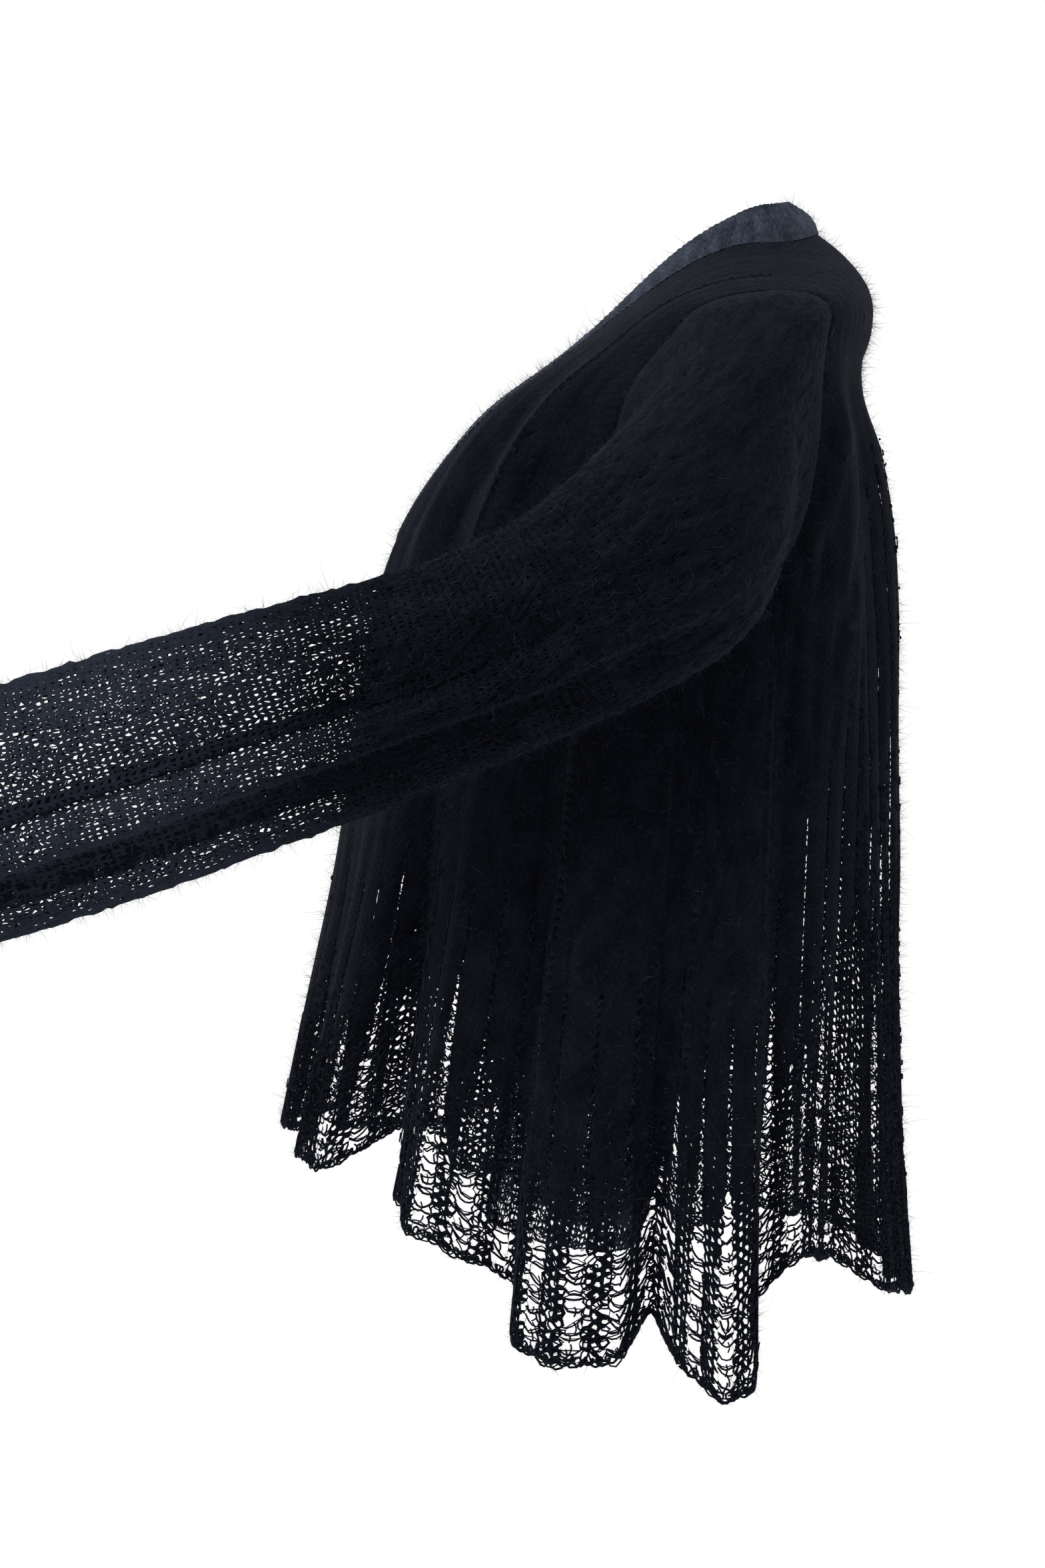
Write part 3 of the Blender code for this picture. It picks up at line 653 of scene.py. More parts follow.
class Panel:
    """A body panel's cloth, by share of its width and by stitch rows up from its hem."""

    def __init__(self, name, first, last, ladders):
        self.name = name
        self.ladders = ladders
        self.fine = np.linspace(first, last, PANEL_SAMPLES)
        run = run_along(body_point(self.fine, np.full_like(self.fine, SPACING_Z))[:, :2])
        self.width = run[-1]
        self.share = run / run[-1]
        self.columns = np.linspace(0, 1, LADDER_COLUMNS * ladders + 1)
        around = self.around(self.columns)[:, None]
        top, hem = column_top(around)[0], HEM_Z(around)
        part = np.linspace(0, 1, COLUMN_SAMPLES)
        run = run_along(body_point(around, top - (top - hem) * (1 - part) ** TOP_CROWD))
        self.length = run[:, -1]
        self.rows = math.ceil(self.length.max() / ROW)
        heights = np.arange(self.rows + 1) * ROW
        self.parts = np.array([np.interp(heights, column, part) for column in run])

    def around(self, across):
        """Angle from the front at a share of the width."""
        return np.interp(across, self.share, self.fine)

    def reach(self, across):
        """How much higher the openings climb here."""
        return np.interp(abs(half_turn(self.around(across))), REACH_ANGLE, REACH)

    def end_row(self, across):
        """Row at which the cloth ends."""
        return np.interp(across, self.columns, self.length) / ROW

    def at(self, across, rows):
        """Points and outward directions at shares of the width and rows."""
        around = self.around(across)
        top, shoulder = column_top(around)
        column = np.clip(across, 0, 1) * (len(self.columns) - 1)
        row = np.clip(rows, 0, self.rows - ROW_SHY)
        c = np.minimum(column.astype(int), len(self.columns) - 2)
        r = row.astype(int)
        u, v = column - c, row - r
        low = self.parts[c, r] * (1 - u) + self.parts[c + 1, r] * u
        high = self.parts[c, r + 1] * (1 - u) + self.parts[c + 1, r + 1] * u
        part = low * (1 - v) + high * v
        part = np.where(rows >= self.end_row(across), 1.0, part)
        z = top - (top - HEM_Z(around)) * (1 - part) ** TOP_CROWD + np.minimum(rows, 0) * ROW
        points, outward = body_cloth(around, z, top)
        points[..., 1] = np.where(shoulder & (part >= 1.0), SIDE(top), points[..., 1])
        return points, outward


def tucked(tucks, hand, share):
    """Angles round a sleeve, which turn back on themselves in its tucks, their depth and tightness."""
    grown = smoothstep((share - TUCK_START) / (TUCK_FULL - TUCK_START))[:, None]
    degrees = 180 - hand * np.linspace(0, 360, SLEEVE_SAMPLES)[None, :]
    turned = np.repeat(degrees, len(share), axis=0)
    depth = np.zeros_like(turned)
    crowd = np.zeros_like(turned)
    for tuck in tucks:
        u = hand * half_turn(tuck.angle - degrees) / tuck.half_deg
        inside = np.clip(u, -1, 1)
        turned = turned + hand * tuck.overlap * tuck.half_deg * np.sin(np.pi * inside) * grown
        sunk = smoothstep((u + 1) / 2) * (1 - smoothstep((u - 1) / TUCK_EASE))
        depth = depth - tuck.depth * sunk * grown
        crowd = np.maximum(crowd, np.exp(-(u * TUCK_CROWD) ** 2) * grown)
    return turned, depth, crowd


class Sleeve:
    """A sleeve's cloth: even stitches round it, from the underarm seam, and rows from armhole to cuff."""

    def __init__(self, name, table, folds, tucks, creases, hand, upward):
        self.name = name
        centres = np.array([[row.x, row.y, row.z] for row in table])
        place = run_along(centres)
        along = np.linspace(0, place[-1], round(place[-1] / SLEEVE_ROW) + 1)

        def column(values):
            return smooth_curve(place, np.array(values))(along)

        centre = np.stack([column(centres[:, k]) for k in range(3)], axis=1)
        tangent = unit(np.gradient(centre, axis=0))
        upward = np.array(upward)
        top = unit(upward - tangent * (tangent @ upward)[:, None])
        fore = hand * np.cross(tangent, top)
        half_top = column([row.half_top for row in table])[:, None, None]
        half_fore = column([row.half_fore for row in table])[:, None, None]
        blend = np.clip(column([row.blend for row in table]), 0, 1)[:, None, None]
        fold = np.clip(column([row.fold for row in table]), 0, 1)[:, None]
        turned, depth, crowd = tucked(tucks, hand, along / place[-1])
        # Sections are ovals with folds and creases, which near the armhole keep its form and draw in.
        angle = np.radians(turned)[..., None]
        radial = top[:, None] * np.cos(angle) * half_top + fore[:, None] * np.sin(angle) * half_fore
        out = ring_curve(folds, "angle", "out")(turned) * fold + depth
        for crease in creases:
            side = np.radians(half_turn(turned - crease.angle)) * SLEEVE_RADIUS
            out = out + crease.depth * crease_fade(crease, side, along[:, None] - crease.along)
        oval = centre[:, None] + radial + unit(radial) * out[..., None]
        kept = armhole_ring(hand, turned) + (centre - centre[0])[:, None]
        ring = kept + (oval - kept) * blend
        eased = smoothstep((HEAD_EASE_END - along) / (HEAD_EASE_END - HEAD_EASE_AT))
        eased = smoothstep(along / HEAD_EASE_AT) * eased
        ring = ring - unit(ring - centre[:, None]) * (HEAD_EASE * eased)[:, None, None]
        self.space_stitches(ring, turned, crowd, along / place[-1])
        self.slant_stitches()

    def space_stitches(self, ring, turned, crowd, share):
        """Set out the stitches evenly round each section, and how open they are."""
        run = run_along(ring)
        lines = np.arange(SLEEVE_STITCHES + 1)
        self.grid = np.empty((len(lines), len(share), 3))
        self.open = np.empty((len(lines), len(share)))
        cap = smoothstep((share - CAP_END) / (CAP_FADE - CAP_END))
        hole = SLEEVE_CAP_HOLE + (SLEEVE_HOLE - SLEEVE_CAP_HOLE) * cap
        for k, row in enumerate(ring):
            spots = lines / SLEEVE_STITCHES * run[k, -1]
            self.grid[:, k] = vectors_at(spots, run[k], row)
            fore = np.maximum(np.sin(np.radians(np.interp(spots, run[k], turned[k]))), 0)
            tight = TUCK_SHUT * np.interp(spots, run[k], crowd[k])
            self.open[:, k] = hole[k] * (1 + FORE_OPEN * cap[k] * fore) * (1 - tight)

    def slant_stitches(self):
        """Draw every other line of stitches down the sleeve and the rest up, and find what is outwards."""
        down, up = self.grid[::2, 2:].copy(), self.grid[1::2, :-2].copy()
        self.grid[::2, 1:-1] += (down - self.grid[::2, 1:-1]) * SLEEVE_SLANT
        self.grid[1::2, 1:-1] += (up - self.grid[1::2, 1:-1]) * SLEEVE_SLANT
        across = np.gradient(self.grid, axis=0)
        across[0] = across[-1] = self.grid[1] - self.grid[-2]
        self.outward = unit(np.cross(np.gradient(self.grid, axis=1), across))


def armhole_ring(hand, degrees):
    """A sleeve's first ring, just under the body's edge, by angle from its top towards the front."""
    spread = np.linspace(ARMHOLE_DEG, 90, EDGE_SAMPLES)
    ring = []
    for around in (spread, 180 - spread[::-1]):
        top = column_top(around)[0]
        edge, outward = body_cloth(hand * around, top, top)
        run = run_along(edge)
        under = unit(np.cross(outward, np.gradient(edge, axis=0)))
        under *= np.sign(np.sum(under * (edge - ARMHOLE_MIDDLE * [hand, 1, 1]), axis=1))[:, None]
        edge = edge + under * ARMHOLE_LAP - outward * ARMHOLE_SINK
        ring.append((run / run[-1], edge))
    turn = degrees % 360 / 180
    front, back = vectors_at(turn, *ring[0]), vectors_at(turn - 1, *ring[1])
    return np.where((turn <= 1)[..., None], front, back)


def link_object(name, data):
    """An object for a mesh, in the scene."""
    item = bpy.data.objects.new(name, data)
    bpy.context.scene.collection.objects.link(item)
    return item


def cloth_object(name, points, faces, uv, material):
    """A smooth mesh with its knit coordinates, and the share of painted backlight in its colour; loose
    points are left out.
    """
    flat = np.concatenate([np.asarray(face).ravel() for face in faces])
    used, place = np.unique(flat, return_inverse=True)
    counts = np.concatenate([np.full(len(face), np.shape(face)[1]) for face in faces])
    data = bpy.data.meshes.new(name)
    ends = np.cumsum(counts)
    corners = [list(place[end - count:end]) for end, count in zip(ends, counts)]
    data.from_pydata(points[used], [], corners)
    layer = data.uv_layers.new(name="knit")
    layer.data.foreach_set("uv", uv[flat, :2].astype(np.float32).ravel())
    drawn = data.attributes.new("drawn", "FLOAT", "POINT")
    drawn.data.foreach_set("value", uv[used, 2].astype(np.float32))
    data.polygons.foreach_set("use_smooth", np.ones(len(corners), dtype=bool))
    data.materials.append(material)
    return link_object(name, data)


def split_faces(quads):
    """Four-sided faces, and the three-sided ones where two corners have met."""
    after = np.roll(quads, -1, axis=1)
    met = quads == after
    whole = quads[~met.any(axis=1)]
    single = met.sum(axis=1) == 1
    three = np.array([row[~same] for row, same in zip(quads[single], met[single])], dtype=int)
    three = three.reshape(-1, 3)
    distinct = (three[:, 0] != three[:, 1]) & (three[:, 1] != three[:, 2]) & (three[:, 2] != three[:, 0])
    return [whole, three[distinct]]


def net(points, outward, uv, cells, holes, plain, rng):
    """Cloth of four or six-sided stitches round holes, and plain faces; gives points, faces and uv."""
    ordered = np.sort(cells, axis=1)
    cut = (holes > SMALLEST_HOLE) & (ordered[:, 1:] != ordered[:, :-1]).all(axis=1)
    ring = cells[cut]
    middle = points[ring].mean(axis=1, keepdims=True)
    middle_uv = uv[ring].mean(axis=1, keepdims=True)
    size = np.clip(holes[cut][:, None] * rng.normal(1, HOLE_UNEVEN, ring.shape), *HOLE_LIMITS)[..., None]
    lip = middle + (points[ring] - middle) * size - outward[ring] * STITCH_SINK
    lip_uv = middle_uv + (uv[ring] - middle_uv) * size
    lip_id = len(points) + np.arange(ring.size).reshape(ring.shape)
    round_holes = np.stack([ring, np.roll(ring, -1, 1), np.roll(lip_id, -1, 1), lip_id], axis=2)
    shut = cells[~cut]
    halves = [shut] if shut.shape[1] == 4 else [shut[:, [0, 1, 2, 5]], shut[:, [5, 2, 3, 4]]]
    quads = np.concatenate([plain] + halves)
    points = np.concatenate([points, lip.reshape(-1, 3)])
    uv = np.concatenate([uv, lip_uv.reshape(-1, 3)])
    return points, [round_holes.reshape(-1, 4)] + split_faces(quads), uv


def stitch_cells(number, first, last, start):
    """Corners of the six-sided stitches between two lines, and the half stitch left at the hem."""
    rows = np.arange(start, number.shape[1] - 2, 2)
    a, b = number[first], number[last]
    cells = np.stack([a[rows], b[rows], b[rows + 1], b[rows + 2], a[rows + 2], a[rows + 1]], axis=1)
    ends = [[a[k], b[k], b[k + 1], a[k + 1]] for k in range(start)]
    if (number.shape[1] - 1 - start) % 2:
        ends.append([a[-2], b[-2], b[-1], a[-1]])
    return cells, ends, rows


def level_faces(left, right):
    """Three-sided faces, last corner doubled, that join two climbing lines of points at like heights."""
    (a, a_height), (b, b_height) = left, right
    faces = []
    i = j = 0
    while i < len(a) - 1 or j < len(b) - 1:
        if j == len(b) - 1 or (i < len(a) - 1 and a_height[i + 1] <= b_height[j + 1]):
            faces.append([a[i], b[j], a[i + 1], a[i + 1]])
            i += 1
        else:
            faces.append([a[i], b[j], b[j + 1], b[j + 1]])
            j += 1
    return faces


def panel_cloth(panel, material, seed):
    """A body panel: ribs of open stitches, with the ladders between them left open lower down."""
    rng = np.random.default_rng(seed)
    # Lines of points along the ribs, at half rows.
    ribs, places = [], []
    for rib in range(panel.ladders + 1):
        edge = np.linspace(-1, 1, RIB_STITCHES + 1)
        if rib in (0, panel.ladders):
            edge = np.linspace(0, 1, RIB_STITCHES) if rib == 0 else np.linspace(-1, 0, RIB_STITCHES)
        ribs += [rib] * len(edge)
        places += list(edge)
    rib, place = np.array(ribs)[:, None], np.array(places)[:, None]
    rows = np.arange(2 * panel.rows + 1)[None, :] / 2
    lines = np.arange(len(ribs))[:, None]
    reach = panel.reach(rib / panel.ladders)
    half = (1 - opening_at(rows, reach, "ladder")) / 2
    # They swing from side to side, and stray a little.
    swing = STITCH_ZIGZAG * 2 * half / RIB_STITCHES
    swing = np.where(abs(place) == 1, np.minimum(swing, EDGE_ZIGZAG * (1 - 2 * half)), swing)
    swing = swing * np.where((lines + 2 * rows) % 2 == 0, 1, -1)
    loose = STITCH_STRAY * (1 + HEM_LOOSE * np.exp(-rows * ROW / HEM_LOOSE_FADE))
    stray = rng.normal(0, 1, (len(ribs), rows.shape[1])) * loose
    inside = np.ones_like(lines)
    inside[[0, -1]] = 0
    across = (rib + place * half + swing * inside) / panel.ladders + stray * inside / panel.width
    across = np.clip(across, 0, 1)
    drift = rng.normal(0, 1, across.shape) * loose / ROW
    points, outward = panel.at(across, np.maximum(rows + drift, 0))
    # Ribs are round, flatter higher up, and flat at their ends.
    end = 2 * panel.end_row(across)
    last = np.argmax(2 * rows >= end, axis=1)
    crown = RIB_CROWN * (1 - place ** 2) * np.ones_like(rows) + STITCH_RISE
    flatter = 1 - CROWN_FADE * smoothstep((rows * ROW - CROWN_FULL) / CROWN_FULL)
    crown *= smoothstep((end - 2 * rows) / CROWN_END) * flatter
    points = points + outward * crown[..., None]
    # Points past the end of a line stand for its last one; the finish follows the rows.
    wide, high = across.shape
    kept_row = np.minimum(np.arange(high)[None, :], last[:, None])
    number = lines * high + kept_row
    plain_uv = np.zeros_like(across)
    level = [np.interp(LEVEL_Z, line[:k + 1, 2], rows[0, :k + 1]) for line, k in zip(points, last)]
    run = (rows - np.array(level)[:, None]) * ROW
    uv = np.stack([lines * STITCH_WIDE + plain_uv, run, plain_uv], axis=-1)
    # Open stitches and ladders below, closed cloth above them.
    cells, plain, holes = [], [], []
    for c in range(wide - 1):
        in_rib = ribs[c] == ribs[c + 1]
        close = (STITCH_CLOSES if in_rib else LADDER_CLOSES) * reach[c, 0] / ROW * 2
        close = int(min(close, min(last[c], last[c + 1]) - 2 * LADDER_END_ROWS))
        if in_rib:
            found, ends, starts = stitch_cells(number[:, :close + 1], c, c + 1, c % 2)
            size = opening_at(starts / 2 + 1, reach[c], "hole") * rng.normal(1, HOLE_UNEVEN, len(starts))
            cells.append(found)
            plain += ends
            holes.append(np.clip(size, 0, LARGEST_RIB_HOLE))
        upper = [slice(close, last[k] + 1) for k in (c, c + 1)]
        plain += level_faces(*[(number[c + k, upper[k]], run[c + k, upper[k]]) for k in (0, 1)])
    points, faces, uv = net(
        points.reshape(-1, 3), outward.reshape(-1, 3), uv.reshape(-1, 3),
        np.concatenate(cells), np.concatenate(holes), np.array(plain), rng,
    )
    return cloth_object(panel.name + "_cloth", points, faces, uv, material)


def sleeve_cloth(sleeve, material, seed):
    """A sleeve: an even net of small holes with looser and tighter patches."""
    rng = np.random.default_rng(seed)
    wide, high = sleeve.grid.shape[:2]
    inside = np.ones((wide, 1, 1))
    inside[[0, -1]] = 0
    settled = np.minimum(np.arange(high) / SETTLED_ROWS, 1)[None, :, None]
    points = sleeve.grid + rng.normal(0, SLEEVE_STRAY, sleeve.grid.shape) * inside * settled
    points = points + sleeve.outward * STITCH_RISE * settled
    line, row = np.meshgrid(np.arange(wide), np.arange(high), indexing="ij")
    # Painted backlight: the yarn's colour turns paler down the sleeve and where its holes open, standing
    # in for light coming through the sheer knit.
    drawn = smoothstep((row * SLEEVE_ROW - BACKLIGHT_START) / (BACKLIGHT_FULL - BACKLIGHT_START))
    uv = np.stack([line * STITCH_WIDE, row * SLEEVE_ROW, sleeve.open / SLEEVE_HOLE * drawn], axis=-1)
    loose = rng.normal(0, 1, (wide // PATCH_STITCHES + 2, high // PATCH_STITCHES + 2))
    patch = np.repeat(np.repeat(loose, PATCH_STITCHES, axis=0), PATCH_STITCHES, axis=1)
    patch = patch[:wide - 1, :high - 1]
    spread = PATCH_SPREAD * patch + rng.normal(0, SLEEVE_HOLE_SPREAD, patch.shape)
    holes = np.clip(sleeve.open[:-1, :-1] * (1 + spread), *SLEEVE_HOLE_LIMITS)
    points, faces, uv = net(
        points.reshape(-1, 3), sleeve.outward.reshape(-1, 3), uv.reshape(-1, 3),
        grid_cells(wide, high), holes.ravel(), np.empty((0, 4), dtype=int), rng,
    )
    return cloth_object(sleeve.name + "_cloth", points, faces, uv, material)


def ladder_paths(panel, seed):
    """Yarns that cross the ladders: sagging rungs and a few strays between them."""
    rng = np.random.default_rng(seed)
    paths = []
    for ladder in range(panel.ladders):
        middle = (ladder + 0.5) / panel.ladders
        reach = panel.reach(middle)
        close = min(panel.end_row(middle) - LADDER_END_ROWS, LADDER_CLOSES * reach / ROW) + RUNG_LEAST
        row = RUNG_LEAST
        while row < close:
            half = opening_at(row, reach, "ladder") / 2 / panel.ladders
            wide = half * panel.width > WIDE_LADDER / 2
            count = WIDE_RUNG_POINTS if wide else RUNG_POINTS
            t = np.linspace(-1, 1, count)
            left, right = row + rng.normal(0, RUNG_TILT, 2)
            sag = rng.uniform(*RUNG_SAG) * min(half * panel.width / WIDE_LADDER, 1.0)
            skew = rng.uniform(-RUNG_SKEW, RUNG_SKEW)
            rows = left * (1 - t) / 2 + right * (1 + t) / 2 - sag * (1 - t * t) * (1 + skew * t)
            rows = rows + rng.normal(0, RUNG_WOBBLE, count)
            across = middle + half * RUNG_REACH * t
            paths.append((across, rows, rng.normal(0, RUNG_STRAY), rng.uniform(*RUNG_THICK)))
            if wide and rng.random() < STRAY_SHARE:
                second = rows + rng.uniform(*SECOND_RISE) * (1 - t * t) * (1 - skew * t)
                paths.append((across, second, rng.normal(0, RUNG_STRAY), rng.uniform(*SECOND_THICK)))
            if wide and rng.random() < STRAY_SHARE:
                lean = rng.uniform(-STRAY_LEAN, STRAY_LEAN, 2)
                t = np.linspace(0, 1, STRAY_POINTS)
                rise = row + t * rng.uniform(*STRAY_CLIMB) - sag
                stray = middle + half * (lean[0] + (lean[1] - lean[0]) * t + STRAY_BOW * np.sin(np.pi * t))
                paths.append((stray, rise, rng.normal(0, RUNG_STRAY), rng.uniform(*STRAY_THICK)))
            row += max(rng.normal(RUNG_PITCH, RUNG_UNEVEN), RUNG_LEAST)
    return paths


def hem_paths(panel, seed):
    """The cast-off edge: a row of small loops along the hem."""
    rng = np.random.default_rng(seed)
    paths = []
    for pitch, thick in HEM_ROUNDS:
        loops = int(panel.width / pitch)
        t = np.linspace(0, loops, loops * HEM_LOOP_POINTS + 1)
        loop = np.arange(loops + 1)
        size = np.interp(t, loop, rng.uniform(*HEM_LOOP_SIZES, loops + 1)) * HEM_LOOP
        turn = 2 * np.pi * t + np.interp(t, loop, rng.normal(0, HEM_LOOP_TURN, loops + 1))
        across = t / loops + size * np.sin(turn) / panel.width
        rows = np.interp(t, loop, rng.normal(HEM_LOOP_ROW, HEM_LOOP_WANDER, loops + 1))
        rows = np.maximum(rows - size * np.cos(turn) / ROW, HEM_LOWEST)
        paths.append((np.clip(across, 0, 1), rows, HEM_LIFT, thick))
    return paths


def rib_paths(panel, seed):
    """Chains of loops that stand on the ribs above the hem."""
    rng = np.random.default_rng(seed)
    paths = []
    for rib in range(panel.ladders + 1):
        sides = (-RIB_LOOP_SIDE, RIB_LOOP_SIDE)
        if rib in (0, panel.ladders):
            sides = (END_RIB_SIDE,) if rib == 0 else (-END_RIB_SIDE,)
        for side in sides:
            end = RIB_LOOP_ROWS + int(rng.integers(-RIB_LOOP_VARY, RIB_LOOP_VARY + 1))
            t = np.linspace(0, end, end * RIB_LOOP_POINTS + 1)
            loop = np.arange(end + 1)
            size = np.interp(t, loop, rng.uniform(*RIB_LOOP_SIZES, end + 1))
            half = (1 - opening_at(t, panel.reach(rib / panel.ladders), "ladder")) / 2
            turn = 2 * np.pi * t + np.interp(t, loop, rng.normal(0, RIB_LOOP_TURN, end + 1))
            drift = np.interp(t, loop, rng.normal(0, RIB_LOOP_DRIFT, end + 1))
            across = (rib + half * (side + drift + RIB_LOOP_HALF * size * np.sin(turn))) / panel.ladders
            rows = t + RIB_LOOP_RISE * size * np.cos(turn)
            paths.append((np.clip(across, 0, 1), rows, RIB_LOOP_LIFT, RIB_LOOP_THICK))
    return paths


def yarn_points(panel, paths):
    """Points of yarns laid out on a panel, with their thickness."""
    points, outward = panel.at(
        np.concatenate([path[0] for path in paths]), np.concatenate([path[1] for path in paths])
    )
    lift = np.concatenate([np.full(len(path[0]), path[2]) for path in paths])
    points = points + outward * lift[:, None]
    ends = np.cumsum([len(path[0]) for path in paths])[:-1]
    return [(line, path[3] * YARN) for line, path in zip(np.split(points, ends), paths)]


def whipped(points, outward):
    """An overcast seam: yarn wound along a line of the cloth, on its inside."""
    run = run_along(points)
    turns = max(int(run[-1] / SEAM_PITCH), 1)
    t = np.linspace(0, turns, turns * SEAM_POINTS + 1)
    spots = t / turns * run[-1]
    line = vectors_at(spots, run, points)
    out = unit(vectors_at(spots, run, outward))
    side = unit(np.cross(out, np.gradient(line, axis=0)))
    phase = (2 * np.pi * t)[:, None]
    wound = side * np.cos(phase) * SEAM_HALF + out * (np.sin(phase) - SEAM_DEPTH) * SEAM_RISE
    return line + wound, SEAM_YARN


def seam_paths(panels, sleeves):
    """Side, shoulder, armhole and underarm seams and the edges of the cuffs, overcast."""
    back = panels["back"]
    paths = []
    for across in (0.0, 1.0):
        rows = np.linspace(SEAM_END, float(back.end_row(across)) - SEAM_END, SIDE_SEAM_SAMPLES)
        paths.append(whipped(*back.at(np.full_like(rows, across), rows)))
    for hand in (1, -1):
        around = np.linspace(NECK_LIMIT_DEG, ARMHOLE_DEG, SHOULDER_SEAM_SAMPLES)
        x = CHEST_HALF * np.sin(np.radians(around))
        z = shoulder_height(x)
        line = np.stack([hand * x, SIDE(z), z], axis=1)
        paths.append(whipped(line, np.repeat([[0.0, 0.0, 1.0]], len(x), axis=0)))
    for sleeve in sleeves.values():
        paths.append(whipped(sleeve.grid[:, 0], sleeve.outward[:, 2]))
        paths.append(whipped(sleeve.grid[0], sleeve.outward[0]))
        paths.append(whipped(sleeve.grid[:, -1], sleeve.outward[:, -1]))
    return paths


def softened(rows, reach):
    """Rows of vectors along the neckband, evened out over a distance."""
    count = round(BAND_SOFT_REACH * reach / BAND_STEP)
    steps = np.arange(-count, count + 1) * BAND_STEP
    weight = np.exp(-(steps / reach) ** 2 / 2)
    padded = np.pad(rows, ((count, count), (0, 0)), mode="edge")
    even = [np.convolve(padded[:, k], weight / weight.sum(), mode="valid") for k in range(3)]
    return unit(np.stack(even, axis=1))


def neckband_grid():
    """The neckband folded over its edge: outside, roll and inside, with points along it."""
    front = np.linspace(FRONT_OPEN_DEG, NECK_LIMIT_DEG, EDGE_SAMPLES)
    half = np.append(front, np.linspace(180 - NECK_LIMIT_DEG, 180, EDGE_SAMPLES))
    around = np.append(half, -half[-2::-1])
    top = column_top(around)[0]
    seam, outward = body_cloth(around, top, top)
    run = run_along(seam)
    spots = np.linspace(0, run[-1], round(run[-1] / BAND_STEP) + 1)
    seam = vectors_at(spots, run, seam)
    outward = unit(vectors_at(spots, run, outward))
    # Directions along the seam, into the neck, up the band and out of it.
    tangent = unit(np.gradient(seam, axis=0))
    inward = unit(np.cross(outward, tangent))
    inward *= np.where(inward[:, 2:] < 0, -1.0, 1.0)
    stand = BAND_STAND * smoothstep(1 - seam[:, 2:] / BAND_LIE_Z)
    rise = softened(unit(inward + stand * np.array([0.0, 0.0, 1.0])), BAND_SOFT)
    wall = softened(unit(np.cross(tangent, rise)), BAND_SOFT)
    nape = np.exp(-(seam[:, 0] / BAND_DROOP_HALF) ** 2) * smoothstep(seam[:, 1] / BAND_DROOP_FADE)
    # Up the outside, over the roll and down the inside.
    turn = np.linspace(0, np.pi, BAND_ROLL_POINTS)[1:-1]
    up = np.linspace(0, 1, BAND_ROWS)
    share = np.concatenate([up, 1 + np.sin(turn) * BAND_FOLD / BAND_WIDTH, up[::-1]])
    roll = BAND_FOLD * (np.cos(turn) - 1)
    deep = np.concatenate([np.zeros(BAND_ROWS), roll, np.full(BAND_ROWS, -2 * BAND_FOLD)])
    bulge = BAND_BULGE * np.sin(np.pi * np.clip(share, 0, 1))
    rows = []
    for part, depth, swell in zip(share, deep, bulge):
        bow = BAND_BOW * math.sin(math.pi * min(part, 1)) * nape
        off = (depth + swell + bow + BAND_LIFT)[:, None]
        row = seam - inward * BAND_LAP + rise * BAND_WIDTH * part + wall * off
        row[:, 2] -= BAND_DROOP * nape * part
        limit = np.where(np.arange(len(row)) < len(row) / 2, 1.0, -1.0)
        row[:, 0] = limit * np.maximum(limit * row[:, 0], BAND_MITRE)
        rows.append(row)
    return np.array(rows), spots, share, seam, outward


def neckband_cloth(material, seed):
    """The neckband, in closer plain knit with shallow wales."""
    rng = np.random.default_rng(seed)
    grid, spots, share, seam, outward = neckband_grid()
    normal = unit(np.cross(np.gradient(grid, axis=1), np.gradient(grid, axis=0)))
    wale = np.cos(2 * np.pi * spots / BAND_STITCH)[None, :, None]
    uneven = rng.normal(0, STITCH_STRAY * BAND_UNEVEN, grid.shape[:2])[..., None]
    points = grid + normal * (wale * BAND_WALE + uneven)
    quads = grid_cells(*grid.shape[:2])
    run = np.cumsum(np.append(0, abs(np.diff(share)))) * BAND_WIDTH
    uv = np.stack(np.broadcast_arrays(spots[None, :], run[:, None], 0.0), axis=-1).reshape(-1, 3)
    cloth = cloth_object("neckband_cloth", points.reshape(-1, 3), [quads], uv, material)
    return cloth, whipped(seam, outward)


def add(tree, kind, values=None, links=None, **settings):
    """Add a node with its settings, its plain inputs and its linked inputs."""
    item = tree.nodes.new(kind)
    for name, value in settings.items():
        setattr(item, name, value)
    for name, value in (values or {}).items():
        item.inputs[name].default_value = value
    for name, source in (links or {}).items():
        tree.links.new(source, item.inputs[name])
    return item


def yarn_tree():
    """Round yarn along paths; each path point carries its own thickness."""
    tree = bpy.data.node_groups.new("spun_yarn", "GeometryNodeTree")
    tree.interface.new_socket("Paths", in_out="INPUT", socket_type="NodeSocketGeometry")
    tree.interface.new_socket("Sides", in_out="INPUT", socket_type="NodeSocketInt")
    tree.interface.new_socket("Finish", in_out="INPUT", socket_type="NodeSocketMaterial")
    tree.interface.new_socket("Yarn", in_out="OUTPUT", socket_type="NodeSocketGeometry")
    given = add(tree, "NodeGroupInput").outputs
    curve = add(tree, "GeometryNodeMeshToCurve", links={"Mesh": given["Paths"]})
    thick = add(tree, "GeometryNodeInputNamedAttribute", {"Name": "thickness"}, data_type="FLOAT")
    ring = add(tree, "GeometryNodeCurvePrimitiveCircle", {"Radius": 1.0}, {"Resolution": given["Sides"]})
    tube = add(tree, "GeometryNodeCurveToMesh", {"Fill Caps": True}, {
        "Curve": curve.outputs["Curve"],
        "Profile Curve": ring.outputs["Curve"],
        "Scale": thick.outputs["Attribute"],
    })
    smooth = add(tree, "GeometryNodeSetShadeSmooth", links={"Geometry": tube.outputs["Mesh"]})
    real = add(tree, "GeometryNodeRealizeInstances", links={"Geometry": smooth.outputs["Geometry"]})
    worn = add(tree, "GeometryNodeSetMaterial", links={
        "Geometry": real.outputs["Geometry"], "Material": given["Finish"],
    })
    add(tree, "NodeGroupOutput", links={"Yarn": worn.outputs["Geometry"]})
    return tree


